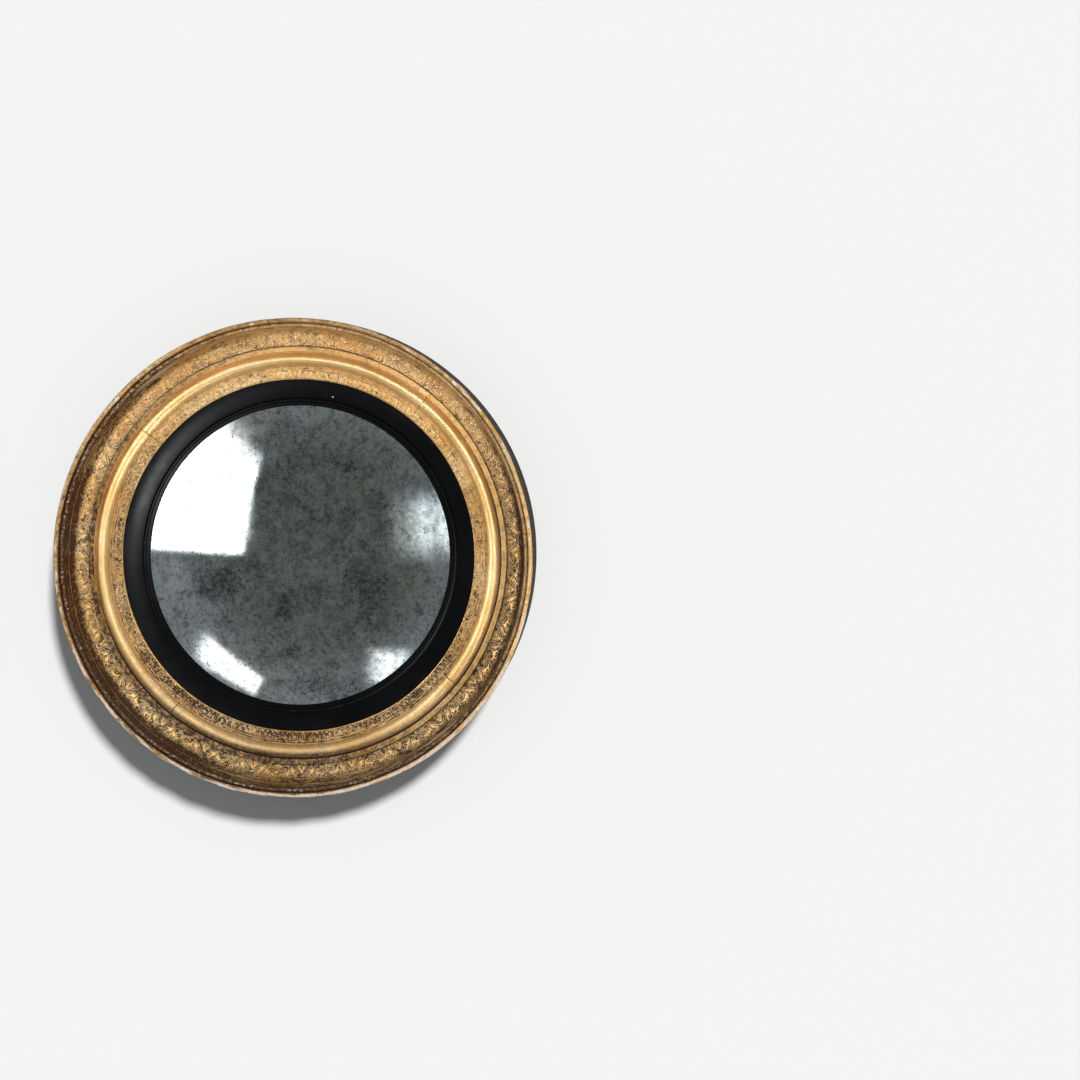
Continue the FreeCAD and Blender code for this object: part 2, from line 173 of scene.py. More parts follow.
def round_the_ring(angles, values):
    """Smooth run round the frame through eight values, from 0 degrees in steps of 45."""
    place = np.mod(angles, 360.0) / 45.0
    first = np.floor(place).astype(int) % 8
    values = np.array(values)
    share = smoothstep(0.0, 1.0, place - np.floor(place))
    return values[first] * (1.0 - share) + values[(first + 1) % 8] * share


def carver_drift(angles):
    """How far the old frame has moved out of true, as radius and height."""
    radius = 0.30 * ring_noise(angles, 90.0, 1) + 0.08 * ring_noise(angles, 20.0, 2)
    height = -0.30 + 0.12 * ring_noise(angles, 60.0, 3)
    return radius, np.minimum(height, 0.0)


# ---- sections --------------------------------------------------------
def straight(start, end, step):
    count = max(2, int(math.ceil(math.dist(start, end) / step)) + 1)
    return np.linspace(start, end, count)


def bow(centre, radius, first, last, step):
    """An arc about a centre, from one angle of the section to another."""
    count = max(3, int(math.ceil(math.radians(abs(last - first)) * radius / step)) + 1)
    turn = np.radians(np.linspace(first, last, count))
    return np.column_stack([centre[0] + radius * np.cos(turn), centre[1] + radius * np.sin(turn)])


def on_side(height):
    """The place of a height on the frame's side, which leans inwards a little."""
    lean = (height - SIDE_FOOT_HEIGHT) / (ROLL_HEIGHT - SIDE_FOOT_HEIGHT)
    return (OUTER_RADIUS - SIDE_BATTER * lean, height)


def outline(place, *stretches):
    """A closed outline from a place on: its points, and a finish for each step between them.

    A stretch is a finish and a curve, or a finish, the end of a straight line and its step.
    """
    points = []
    finishes = []
    for finish, target, *step in stretches:
        curve = straight(place, target, *step) if step else target
        points.append(curve[:-1])
        finishes += [finish] * (len(curve) - 1)
        place = curve[-1]
    return np.vstack(points), np.array(finishes)


def outline_normals(points):
    """Directions out of a closed outline that runs clockwise, with radius to the right and height up."""
    along = np.roll(points, -1, axis=0) - np.roll(points, 1, axis=0)
    normals = np.column_stack([-along[:, 1], along[:, 0]])
    return normals / np.maximum(np.linalg.norm(normals, axis=1), 1e-9)[:, None]


def outline_bend(points):
    """How hollow (above 0) or proud (below 0) each point of an outline is."""
    steps = np.linalg.norm(np.roll(points, -1, axis=0) - points, axis=1)
    length = np.concatenate([[0.0], np.cumsum(steps)])
    total = length[-1]
    looped = np.vstack([points, points[:1]])

    def at(where):
        where = np.mod(where, total)
        return np.column_stack([np.interp(where, length, looped[:, k]) for k in (0, 1)])

    middle = (at(length[:-1] - BEND_REACH) + at(length[:-1] + BEND_REACH)) / 2.0
    return np.sum((middle - points) * outline_normals(points), axis=1) / BEND_REACH


# ---- meshes ----------------------------------------------------------
def to_space(radius, height, angle):
    radius, height, turn = np.broadcast_arrays(radius, height, np.radians(angle))
    return np.stack([radius * np.cos(turn), -height, radius * np.sin(turn)], axis=-1) * MM


def make_mesh(name, points, quads, materials, finishes=None, caps=(), marks=None, cap_finish=0):
    """A mesh object with smooth quads, flat end caps, and one float attribute for each mark."""
    mesh = bpy.data.meshes.new(name)
    mesh.vertices.add(len(points))
    mesh.vertices.foreach_set("co", np.ascontiguousarray(points, dtype=np.float32).ravel())
    corners = np.concatenate([quads.ravel()] + [np.asarray(cap) for cap in caps]).astype(np.int32)
    sizes = np.concatenate([np.full(len(quads), 4), [len(cap) for cap in caps]]).astype(np.int32)
    starts = np.concatenate([[0], np.cumsum(sizes)[:-1]]).astype(np.int32)
    mesh.loops.add(len(corners))
    mesh.loops.foreach_set("vertex_index", corners)
    mesh.polygons.add(len(sizes))
    mesh.polygons.foreach_set("loop_start", starts)
    mesh.polygons.foreach_set("loop_total", sizes)
    for material in materials:
        mesh.materials.append(material)
    indices = np.zeros(len(sizes), dtype=np.int32)
    if finishes is not None:
        indices[:len(quads)] = finishes
    indices[len(quads):] = cap_finish
    mesh.polygons.foreach_set("material_index", indices)
    smooth = np.ones(len(sizes), dtype=bool)
    smooth[len(quads):] = False
    mesh.polygons.foreach_set("use_smooth", smooth)
    for mark, values in (marks or {}).items():
        layer = mesh.attributes.new(mark, "FLOAT", "POINT")
        layer.data.foreach_set("value", np.ascontiguousarray(values, dtype=np.float32).ravel())
    mesh.update()
    mesh.validate()
    piece = bpy.data.objects.new(name, mesh)
    bpy.context.scene.collection.objects.link(piece)
    return piece


def joint_angles(start, end, step):
    """Even steps with a few close ones at each end, where the arris of a joint is rounded."""
    close = np.array([0.0, 0.08, 0.2, 0.4]) * step
    even = np.linspace(start + 0.8 * step, end - 0.8 * step, int((end - start) / step))
    return np.concatenate([start + close, even, end - close[::-1]])


def grid_quads(columns, rows, closed_rows=False, closed_columns=False):
    column = np.arange(columns if closed_columns else columns - 1)[:, None]
    row = np.arange(rows if closed_rows else rows - 1)[None, :]
    next_column = (column + 1) % columns
    next_row = (row + 1) % rows
    corners = [column * rows + row, column * rows + next_row,
               next_column * rows + next_row, next_column * rows + row]
    return np.stack([np.broadcast_to(c, (column.size, row.size)) for c in corners], axis=-1).reshape(-1, 4)


def lathe(name, section, angles, materials, shape, drift=True, full=False, cap_finish=0):
    """A moulding turned about the axis; shape(angles, points, marks) returns lifts out of the surface."""
    points, finishes = section
    normals = outline_normals(points)
    bend = outline_bend(points)
    columns, rows = len(angles), len(points)
    marks = {
        "hollow": np.broadcast_to(smoothstep(0.05, 0.55, bend), (columns, rows)).copy(),
        "proud": np.broadcast_to(smoothstep(0.05, 0.45, -bend), (columns, rows)).copy(),
        "chip": np.zeros((columns, rows)),
        "grime": np.zeros((columns, rows)),
    }
    lift = shape(angles[:, None], points, marks)
    radius = points[None, :, 0] + lift * normals[None, :, 0]
    height = points[None, :, 1] + lift * normals[None, :, 1]
    if drift:
        out, up = carver_drift(angles)
        share = smoothstep(TRUE_BELOW, DRIFT_FULL, height)
        radius = radius + out[:, None] * share
        height = height + up[:, None] * share
    space = to_space(radius, height, angles[:, None])
    quads = grid_quads(columns, rows, closed_rows=True, closed_columns=full)
    caps = [] if full else [np.arange(rows)[::-1], (columns - 1) * rows + np.arange(rows)]
    per_quad = np.tile(finishes, columns if full else columns - 1)
    return make_mesh(name, space.reshape(-1, 3), quads, materials, per_quad, caps, marks, cap_finish)


# ---- material nodes --------------------------------------------------
class Wire:
    """A number in a node tree; plain arithmetic on it adds Math nodes."""

    def __init__(self, shader, socket):
        self.shader = shader
        self.socket = socket

    def __add__(self, other):
        return self.shader.calculate("ADD", self, other)

    def __mul__(self, other):
        return self.shader.calculate("MULTIPLY", self, other)

    def __rsub__(self, other):
        return self.shader.calculate("SUBTRACT", other, self)

    __radd__ = __add__
    __rmul__ = __mul__

    def least(self, other):
        return self.shader.calculate("MINIMUM", self, other)

    def most(self, other):
        return self.shader.calculate("MAXIMUM", self, other)

    def ramp(self, low, high, start=0.0, end=1.0):
        """A smooth step, from start where this number is low to end where it is high."""
        made = self.shader.node("ShaderNodeMapRange", {
            "Value": self, "From Min": low, "From Max": high, "To Min": start, "To Max": end},
            interpolation_type="SMOOTHSTEP")
        return Wire(self.shader, made.outputs[0])


class Shader:
    """The node tree of a material or of the world, with short calls for the nodes that are used here."""

    def __init__(self, owner, output="ShaderNodeOutputMaterial"):
        owner.use_nodes = True
        self.owner = owner
        self.tree = owner.node_tree
        self.tree.nodes.clear()
        self.output = self.tree.nodes.new(output)
        self.place = self.node("ShaderNodeTexCoord").outputs["Object"]

    def join(self, source, target):
        if isinstance(source, Wire):
            self.tree.links.new(source.socket, target)
        elif isinstance(source, (int, float)):
            target.default_value = source
        elif isinstance(source, tuple):
            target.default_value = source + (1.0,) if target.type == "RGBA" else source
        else:
            self.tree.links.new(source, target)

    def node(self, kind, inputs=(), **settings):
        made = self.tree.nodes.new(kind)
        for key, value in settings.items():
            setattr(made, key, value)
        for key, value in dict(inputs).items():
            self.join(value, made.inputs[key])
        return made

    def calculate(self, kind, first, second=0.0):
        return Wire(self, self.node("ShaderNodeMath", {0: first, 1: second}, operation=kind).outputs[0])

    def mark(self, name):
        """A number that the mesh carries at each of its points."""
        return Wire(self, self.node("ShaderNodeAttribute", attribute_name=name).outputs["Fac"])

    def noise(self, scale, detail=4.0, rough=0.55, where=None, distortion=0.0):
        made = self.node("ShaderNodeTexNoise", {
            "Vector": where or self.place, "Scale": scale, "Detail": detail,
            "Roughness": rough, "Distortion": distortion})
        return Wire(self, made.outputs["Fac"])

    def cells(self, scale, where=None):
        """Distance from the middle of the nearest random cell."""
        made = self.node("ShaderNodeTexVoronoi", {"Vector": where or self.place, "Scale": scale})
        return Wire(self, made.outputs["Distance"])

    def stretch(self, scale, turn=(0.0, 0.0, 0.0), shift=(0.0, 0.0, 0.0)):
        made = self.node("ShaderNodeMapping", {
            "Vector": self.place, "Scale": scale, "Rotation": turn, "Location": shift})
        return made.outputs[0]

    def moved(self, *shift):
        """The same places some way off, where a noise runs differently."""
        return self.stretch((1.0, 1.0, 1.0), shift=shift)

    def split(self, place):
        parts = self.node("ShaderNodeSeparateXYZ", {0: place}).outputs
        return [Wire(self, part) for part in parts]

    def radius(self):
        """Distance from the mirror's axis, in metres."""
        across, _, up = self.split(self.place)
        return self.calculate("SQRT", across * across + up * up)

    def mix(self, share, first, second):
        made = self.node("ShaderNodeMix", {"Factor": share}, data_type="RGBA", clamp_factor=True)
        self.join(first, made.inputs[6])
        self.join(second, made.inputs[7])
        return made.outputs[2]

    def bump(self, height, strength, distance, normal=None):
        made = self.node("ShaderNodeBump", {"Height": height, "Strength": strength, "Distance": distance})
        if normal:
            self.join(normal, made.inputs["Normal"])
        return made.outputs[0]

    def blend(self, share, first, second):
        """Send one of two surfaces, or a mixture, to the output."""
        both = self.node("ShaderNodeMixShader", {0: share, 1: first.outputs[0], 2: second.outputs[0]})
        self.join(both.outputs[0], self.output.inputs["Surface"])

    def finish(self, **sockets):
        """Send a principled surface to the output; each argument is one of its sockets."""
        inputs = {key.replace("_", " "): value for key, value in sockets.items()}
        surface = self.node("ShaderNodeBsdfPrincipled", inputs)
        self.join(surface.outputs[0], self.output.inputs["Surface"])
        return self.owner


def new_shader(name):
    return Shader(bpy.data.materials.new(name))


# ---- finishes --------------------------------------------------------
GESSO = (0.80, 0.70, 0.60)
PINK_GESSO = (0.66, 0.46, 0.34)
BOLE = (0.30, 0.105, 0.045)
GLAZE = (0.215, 0.088, 0.017)
# the two umbers are the colours given to soot and painted shade
UMBER = (0.048, 0.014, 0.003)
GREY_UMBER = (0.050, 0.026, 0.012)
DARKEST_SOOT_AND_SHADE = 0.985
GILT_SHINE = 0.22               # specular level of the gilding and of the ebonised slip
SIDE_WASH = ((0.012, 0.006, 0.003), (0.050, 0.025, 0.012))
WASH_EDGE_RADIUS = OUTER_RADIUS - 0.6       # the wash laps round the back's edge as far as here
SILVER = ((0.66, 0.72, 0.74), (0.64, 0.66, 0.60))
CLOUDED_SILVER = (0.235, 0.265, 0.26)
BLACKENED_SILVER = (0.10, 0.118, 0.118)
FRESH_SILVER = (0.90, 0.95, 0.95)


def gilding(name, light, deep, toning, settle, mottle, metal, gloss, rub, fleck, blotch=1.0):
    """Old gilding: leaf over red bole over gesso, toned with umber that has stayed in the hollows, with soot
    and painted shade where the mesh marks them.
    """
    s = new_shader(name)
    broad = s.noise(22.0, 3.0)
    patches = s.noise(95.0, 6.0, 0.65)
    mottling = s.noise(330.0, 5.0, 0.72)
    hollow = s.mark("hollow")
    proud = s.mark("proud")
    grime = s.mark("grime")
    chip = s.mark("chip")
    leaf = s.mix((broad * 0.5 + patches * 0.5).ramp(0.38, 0.60), deep, light)
    dark_leaf = tuple(part * 0.55 for part in deep)
    leaf = s.mix(mottling.ramp(0.47, 0.66) * mottle, leaf, dark_leaf)
    # a brown glaze has stayed in the hollows and in patches; soot and painted shade lie where the mesh's
    # mark for them says
    broken = mottling.ramp(0.34, 0.62, 0.62, 1.30) * patches.ramp(0.30, 0.62, 0.75, 1.12)
    broken = broken * blotch + 0.92 * (1.0 - blotch)
    glazed = hollow * settle + patches.ramp(0.48, 0.66) * toning
    colour = s.mix(glazed * broken, leaf, GLAZE)
    soot_and_shade = grime * (hollow * 0.7 + 0.80) * broken * proud.ramp(0.0, 1.0, 1.0, 1.0 - rub)
    flecks = s.noise(520.0, 5.0, 0.7, s.moved(1.3, 0.6, 2.2)).ramp(0.57, 0.66)
    soot_and_shade = soot_and_shade.least(DARKEST_SOOT_AND_SHADE) * (1.0 - flecks * fleck)
    # the umber is greyer on the lower parts, and in broad patches
    height = s.split(s.place)[2]
    greyer_below = height.ramp(0.02, -0.15) + broad.ramp(0.45, 0.65, -0.3, 0.3)
    colour = s.mix(soot_and_shade, colour, s.mix(greyer_below, UMBER, GREY_UMBER))
    # bole and pale gesso show through where the leaf is rubbed; on proud parts the pale gesso is also a
    # painted highlight
    rubbed = (proud * 0.30 + s.noise(320.0, 5.0, 0.65)).ramp(0.74, 0.88) * 0.6
    colour = s.mix(rubbed * 0.45, colour, BOLE)
    bare_and_highlight = (proud * 0.26 + s.noise(420.0, 4.0, 0.6, s.moved(3.1, 1.7, 0.4))).ramp(0.80, 0.92) * 0.7
    colour = s.mix(bare_and_highlight, colour, GESSO)
    chalk = s.mix(s.noise(260.0, 4.0).ramp(0.35, 0.7), GESSO, PINK_GESSO)
    colour = s.mix(chip, colour, chalk)
    matt = ((soot_and_shade * 0.9).most(glazed * 0.5) + rubbed * 0.5 + bare_and_highlight + chip).least(1.0)
    roughness = mottling.ramp(0.3, 0.7, gloss - 0.05, gloss + 0.09) + matt * 0.26
    normal = s.bump(s.noise(700.0, 3.0, 0.6) * 0.5 + s.noise(1500.0, 2.0, 0.5) * 0.5, 0.36, 0.00035)
    normal = s.bump(s.noise(160.0, 5.0, 0.6), 0.34, 0.0009, normal)
    return s.finish(Base_Color=colour, Metallic=(1.0 - matt) * metal, Roughness=roughness, Normal=normal,
                    Specular_IOR_Level=GILT_SHINE)


def side_paint(name):
    """The dull brown-black wash on the frame's side."""
    s = new_shader(name)
    streaks = s.noise(40.0, 6.0, 0.65, s.stretch((1.0, 6.0, 1.0)))
    wear = s.noise(260.0, 5.0, 0.65)
    colour = s.mix(streaks.ramp(0.35, 0.7), *SIDE_WASH)
    worn = (wear + s.mark("proud") * 0.15).ramp(0.64, 0.74)
    colour = s.mix(worn * 0.7, colour, (0.20, 0.115, 0.060))
    colour = s.mix(s.mark("chip"), colour, GESSO)
    return s.finish(Base_Color=colour, Roughness=streaks.ramp(0.3, 0.7, 0.6, 0.85),
                    Normal=s.bump(wear, 0.35, 0.0006), Specular_IOR_Level=0.12)


def bare_wood(name, grain, shift=0.0, pale=(0.36, 0.21, 0.10), dark=(0.17, 0.085, 0.035), washed=False):
    """Old softwood; grain is how fast its noise runs along X, Y and Z.

    A washed piece lies at the edge of the frame, and the side's wash covers what faces outwards.
    """
    s = new_shader(name)
    rings = s.noise(3.0, 3.0, 0.5, s.stretch(grain, shift=(shift, shift * 0.7, shift * 1.3)), 1.2)
    lines = s.calculate("SINE", rings * 165.0)
    fibre = s.noise(30.0, 5.0, 0.7, s.stretch(tuple(part * 2.0 for part in grain)))
    colour = s.mix(lines.ramp(-0.8, 1.0) * 0.55, pale, dark)
    colour = s.mix(fibre.ramp(0.35, 0.7) * 0.55, colour, dark)
    stain = s.noise(12.0, 5.0, 0.6)
    colour = s.mix(stain.ramp(0.45, 0.75) * 0.55, colour, (0.08, 0.045, 0.022))
    if washed:
        wander = s.noise(60.0, 4.0) * 0.004
        edge = WASH_EDGE_RADIUS * MM
        wash = (s.radius() + wander).ramp(edge, edge + MM)
        paint = s.mix(stain.ramp(0.35, 0.7), *SIDE_WASH)
        worn = s.noise(240.0, 5.0, 0.65).ramp(0.6, 0.72)
        paint = s.mix(worn * 0.8, paint, (0.16, 0.095, 0.05))
        colour = s.mix(wash, colour, paint)
    return s.finish(Base_Color=colour, Roughness=fibre.ramp(0.3, 0.7, 0.62, 0.85),
                    Normal=s.bump(lines * 0.25 + fibre, 0.4, 0.0005), Specular_IOR_Level=0.14)


def ebony_black(name):
    """Black lacquer on turned wood, with fine scratches, dust and edges rubbed to brown."""
    s = new_shader(name)
    haze = s.noise(26.0, 4.0, 0.6)
    fine = s.noise(500.0, 4.0, 0.6)
    colour = s.mix(haze.ramp(0.35, 0.7), (0.0012, 0.0012, 0.0018), (0.0030, 0.0030, 0.0040))
    worn = (s.mark("proud") * 0.20 + s.noise(180.0, 6.0, 0.65)).ramp(0.78, 0.90)
    colour = s.mix(worn * 0.5, colour, (0.070, 0.042, 0.026))
    dust = fine.ramp(0.64, 0.80) * 0.10
    colour = s.mix(dust, colour, (0.10, 0.10, 0.10))
    normal = s.bump(fine * 0.3 + s.noise(120.0, 3.0), 0.12, 0.0006)
    return s.finish(Base_Color=colour, Roughness=haze.ramp(0.3, 0.7, 0.34, 0.44) + worn * 0.2,
                    Normal=normal, Specular_IOR_Level=GILT_SHINE)


def aged_mirror(name):
    """Old looking glass: the silvering has clouded, mottled and lifted in specks."""
    s = new_shader(name)
    drift = s.noise(13.0, 5.0, 0.6)
    cloud = s.noise(34.0, 6.0, 0.68)
    mottle = s.noise(240.0, 7.0, 0.78)
    grain = s.noise(900.0, 4.0, 0.75)
    stain = s.mark("stain")
    # the middle is veiled more than the border
    middle = (s.radius() + drift * 0.06).ramp(0.100, 0.175, 1.0, 0.25)
    colour = s.mix(drift.ramp(0.40, 0.60), *SILVER)
    colour = s.mix(cloud.ramp(0.34, 0.66, 0.15, 1.0) * middle * 0.60, colour, CLOUDED_SILVER)
    hazy = s.mark("haze") * (cloud * 0.5 + mottle * 0.5).ramp(0.36, 0.60, 0.1, 0.95)
    colour = s.mix(hazy, colour, (0.84, 0.92, 0.96))
    # mottling in two sizes
    flow = s.noise(105.0, 6.0, 0.66, s.stretch((1.0, 1.0, 0.75), turn=(0.0, math.radians(30.0), 0.0)))
    colour = s.mix(flow.ramp(0.49, 0.66) * 0.50, colour, (0.13, 0.15, 0.15))
    colour = s.mix(flow.ramp(0.50, 0.36) * 0.38, colour, (0.86, 0.93, 0.94))
    fine = mottle * 0.6 + grain * 0.4
    colour = s.mix(fine.ramp(0.50, 0.60) * 0.78, colour, BLACKENED_SILVER)
    colour = s.mix(fine.ramp(0.49, 0.40) * 0.55, colour, FRESH_SILVER)
    # dark clusters, specks that have lifted, pinholes and brown tarnish
    cluster = stain * 0.085 + cloud.ramp(0.42, 0.70) * 0.04
    spots = (fine + cluster).ramp(0.555, 0.640)
    colour = s.mix(stain * cloud.ramp(0.30, 0.60, 0.10, 0.42), colour, (0.10, 0.12, 0.125))
    colour = s.mix(spots * 0.66, colour, (0.045, 0.058, 0.066))
    lifted = s.cells(95.0).ramp(0.085, 0.045) * s.noise(24.0, 3.0).ramp(0.52, 0.60)
    colour = s.mix(lifted, colour, (0.90, 0.92, 0.90))
    pinholes = s.cells(240.0, s.moved(0.7, 0.2, 0.9)).ramp(0.14, 0.08) * s.noise(18.0, 4.0).ramp(0.50, 0.64)
    colour = s.mix(pinholes, colour, (0.03, 0.033, 0.03))
    tarnish = s.noise(300.0, 5.0, 0.65).ramp(0.58, 0.70) * s.noise(16.0, 3.0).ramp(0.50, 0.64)
    colour = s.mix(tarnish * 0.7, colour, (0.30, 0.26, 0.19))
    fog = s.noise(30.0, 6.0, 0.7).ramp(0.35, 0.70, 0.025, 0.080)
    flaws = (tarnish * 0.5 + (lifted * 0.8 + pinholes * 0.7)).least(1.0)
    ripple = s.bump(s.noise(9.0, 2.0, 0.4), 0.10, 0.004)
    ripple = s.bump(grain, 0.05, 0.0002, ripple)
    return s.finish(Base_Color=colour, Metallic=1.0 - flaws, Roughness=fog + spots * 0.06 + hazy * 0.10,
                    Normal=ripple, Coat_Weight=0.5, Coat_Roughness=0.03)


def old_metal(name, colour, tarnished, share, roughness):
    """Metal with patches of tarnish or rust."""
    s = new_shader(name)
    patches = s.noise(180.0, 6.0, 0.65)
    pits = s.noise(900.0, 4.0, 0.6)
    tarnish = (patches + pits * 0.25).ramp(0.52, 0.72) * share
    rough = tarnish * 0.35 + pits.ramp(0.3, 0.7, roughness - 0.08, roughness + 0.08)
    return s.finish(Base_Color=s.mix(tarnish, colour, tarnished), Metallic=0.95 - tarnish * 0.8,
                    Roughness=rough, Normal=s.bump(pits + patches, 0.35, 0.0003))


GILT = gilding("gilt_wood", light=(0.90, 0.60, 0.26), deep=(0.72, 0.41, 0.130), toning=0.40,
               settle=0.50, mottle=0.42, metal=0.45, gloss=0.44, rub=0.05, fleck=0.12)
BURNISHED = gilding("gilt_burnished", light=(0.95, 0.66, 0.33), deep=(0.80, 0.49, 0.18), toning=0.20,
                    settle=0.30, mottle=0.22, metal=0.70, gloss=0.34, rub=0.10, fleck=0.10, blotch=0.35)
LEAF_GILT = gilding("gilt_leaf_ornament", light=(1.0, 0.79, 0.47), deep=(0.94, 0.62, 0.26), toning=0.22,
                    settle=1.40, mottle=0.46, metal=0.38, gloss=0.42, rub=0.55, fleck=0.24)
TONGUE_GILT = gilding("gilt_tongue_ornament", light=(0.90, 0.66, 0.345), deep=(0.75, 0.445, 0.155),
                      toning=0.28, settle=0.95, mottle=0.50, metal=0.50, gloss=0.42, rub=0.40, fleck=0.20)
SIDE_PAINT = side_paint("painted_side")
RAW_WOOD = bare_wood("raw_wood", (9.0, 60.0, 0.9))
EBONISED = ebony_black("ebonised_wood")
MIRROR = aged_mirror("aged_mirror")
FRAME_FINISHES = [GILT, SIDE_PAINT, RAW_WOOD, BURNISHED]
GILT_ROW, SIDE_ROW, WOOD_ROW, BURNISHED_ROW = range(4)
EBONY_ROW = 0

# how dark each part of the frame is made, at 0, 45, 90 and so on to 315 degrees: soot, and painted shade
# where less light falls
WALL_SOOT_AND_SHADE = (1.55, 0.38, 0.10, 0.84, 1.6, 1.40, 0.86, 1.10)
# the wall's pale wear, which is also painted light on its shaded top
WALL_WEAR_AND_LIGHT = (0.10, 0.80, 1.0, 0.25, 0.0, 0.0, 0.35, 0.45)
LEAF_SOOT_AND_SHADE = (0.80, 0.05, 0.0, 0.0, 0.46, 1.35, 1.2, 1.1)
LEAF_DIRT_AND_SHADE = (1.0, 0.65, 0.50, 0.55, 1.0, 1.0, 1.0, 1.0)
FILLET_SOOT_AND_SHADE = (0.35, 0.12, 0.28, 0.72, 1.15, 1.1, 1.15, 0.50)
RISER_SOOT_AND_SHADE = (1.25, 0.0, 0.0, 0.0, 0.0, 1.5, 1.6, 1.6)
HALF_ROUND_SOOT_AND_SHADE = (0.0, 0.0, 0.0, 0.0, 0.06, 0.42, 0.50, 0.26)
TONGUE_SOOT_AND_SHADE = (0.62, 0.06, 0.10, 0.38, 0.82, 1.12, 1.20, 1.15)
TONGUE_DIRT_AND_SHADE = (0.9, 0.75, 0.75, 0.8, 0.9, 1.0, 1.0, 1.0)
REED_SOOT_AND_SHADE = (0.60, 0.55, 0.40, 1.0, 1.7, 2.0, 1.5, 1.2)
ROLL_SOOT_AND_SHADE = (0.12, 0.45, 0.72, 0.50, 0.85, 0.85, 0.90, 0.30)
ROLL_WEAR = (0.45, 0.55, 0.20, 0.20, 0.40, 0.90, 1.1, 1.25)


# ---- grime and painted shade, wear and painted light, and chips that the frame's pieces share ---
def chips(angles, along, seed, places):
    """How much gesso is lost: ragged patches at (angle, spread, middle, half width) places."""
    field = soft_noise(np.broadcast(angles, along).shape, (2.2, 1.3), seed)
    depth = np.zeros(field.shape)
    for angle, spread, middle, half_width in places:
        away = (np.mod(angles - angle + 180.0, 360.0) - 180.0) / spread
        across = (along - middle) / half_width
        depth = np.maximum(depth, smoothstep(0.9, 0.2, away ** 2 + across ** 2 + 0.33 * field))
    return depth


def wall_grime_and_shade(angles, heights, seed):
    """Soot and painted shade on the hollow's plain wall, with small dark spots."""
    spots = soft_noise(np.broadcast(angles, heights).shape, (3.6, 2.0), seed)
    soot_and_shade = round_the_ring(angles, WALL_SOOT_AND_SHADE) + 0.10 * ring_noise(angles, 24.0, 11)
    soot_and_shade = soot_and_shade + 0.30 * np.clip(spots - 0.2, 0.0, 2.0) - 0.06
    return np.clip(soot_and_shade, 0.0, 1.6) * smoothstep(32.0, 37.0, heights)


def wall_scuffs_and_light(angles, shape, seed):
    """Long pale scuffs along the plain wall, made strongest at its top, where they are also painted light on
    the shaded wall.
    """
    field = soft_noise(shape, (16.0, 2.2), seed)
    wear = round_the_ring(angles, WALL_WEAR_AND_LIGHT)
    return 0.75 * smoothstep(1.1, 2.1, field + 0.8 * wear) * smoothstep(0.0, 0.4, wear)


def arris(angles, radius, width):
    """Up to 1 at the rounded ends of a segment, within a width."""
    ends = np.minimum(angles - angles[0], angles[-1] - angles) * np.radians(1.0) * radius
    return np.exp(-(ends / width) ** 2)


def lengths_along(points):
    """How far each point of a line lies from its first, along the line."""
    steps = np.linalg.norm(np.diff(points, axis=0), axis=1)
    return np.concatenate([[0.0], np.cumsum(steps)])[None, :]


def middle_shape(angles, points, marks):
    radius, height = points[None, :, 0], points[None, :, 1]
    grime = marks["grime"]
    shape = grime.shape
    lumps = soft_noise(shape, (9.0, 5.0), 21) * 0.045
    fine = soft_noise(shape, (2.2, 1.6), 22) * 0.018
    # soot and painted shade on the hollow's wall, and pale scuffs that are partly painted light
    grime += wall_grime_and_shade(angles, height, 24) * (radius > HOLLOW_START)
    marks["chip"] += wall_scuffs_and_light(angles, shape, 23) * (radius > WALL_FOOT - 1.0) * (radius < WALL_TOP + 1.0)
    groove = (np.abs(radius - FLOOR_INNER) < 3.0) * (height < FILLET_HEIGHT - 0.4)
    foot = np.exp(-((radius - HALF_ROUND_OUTER) / 0.9) ** 2) * (height < BAND_HEIGHT + 3.2)
    riser = (radius > HALF_ROUND_OUTER) * (radius < FILLET_INNER) * (height < FILLET_HEIGHT - 0.2)
    fillet = (radius > FILLET_INNER - 0.1) * (radius < FLOOR_INNER + 0.1) * (height > FLOOR_HEIGHT)
    half_round = (radius > HALF_ROUND_INNER) * (radius < HALF_ROUND_OUTER)
    outer_half = smoothstep(HALF_ROUND_INNER + 2.0, HALF_ROUND_OUTER - 3.0, radius)
    channel = (radius > HALF_ROUND_OUTER - 2.0) * (radius < FILLET_INNER)
    # the channel beside the half-round is darkest below, and the groove at the floor's edge is darkened:
    # settled dirt and painted shade
    below = facing(angles, 265.0)
    grime += 0.35 * groove + 0.4 * foot * below
    marks["hollow"] *= 1.0 - (0.7 - 0.7 * below) * channel
    # soot and painted shade round the ring on the riser, the fillet and the half-round, the half-round's
    # most on its outer flank at the bottom
    grime += round_the_ring(angles, RISER_SOOT_AND_SHADE) * riser
    grime += round_the_ring(angles, FILLET_SOOT_AND_SHADE) * fillet
    grime += round_the_ring(angles, HALF_ROUND_SOOT_AND_SHADE) * half_round * (0.9 + 0.5 * outer_half)
    grime += 0.5 * facing(angles, 258.0, 4.0) * half_round * smoothstep(0.6, 1.0, outer_half)
    # fine turned lines on the inner flank of the half-round
    lines = np.zeros(shape)
    for line_radius in (HALF_ROUND_INNER + 1.0, HALF_ROUND_INNER + 2.3):
        lines = lines + np.exp(-((radius - line_radius) / 0.28) ** 2) * (height > BAND_HEIGHT + 0.5)
    grime += 0.35 * lines
    ends = arris(angles, radius, 0.28) * smoothstep(FILLET_INNER + 1.0, HALF_ROUND_INNER + 6.0, radius)
    grime += 0.6 * ends
    return lumps + fine - 0.20 * lines - 0.22 * ends


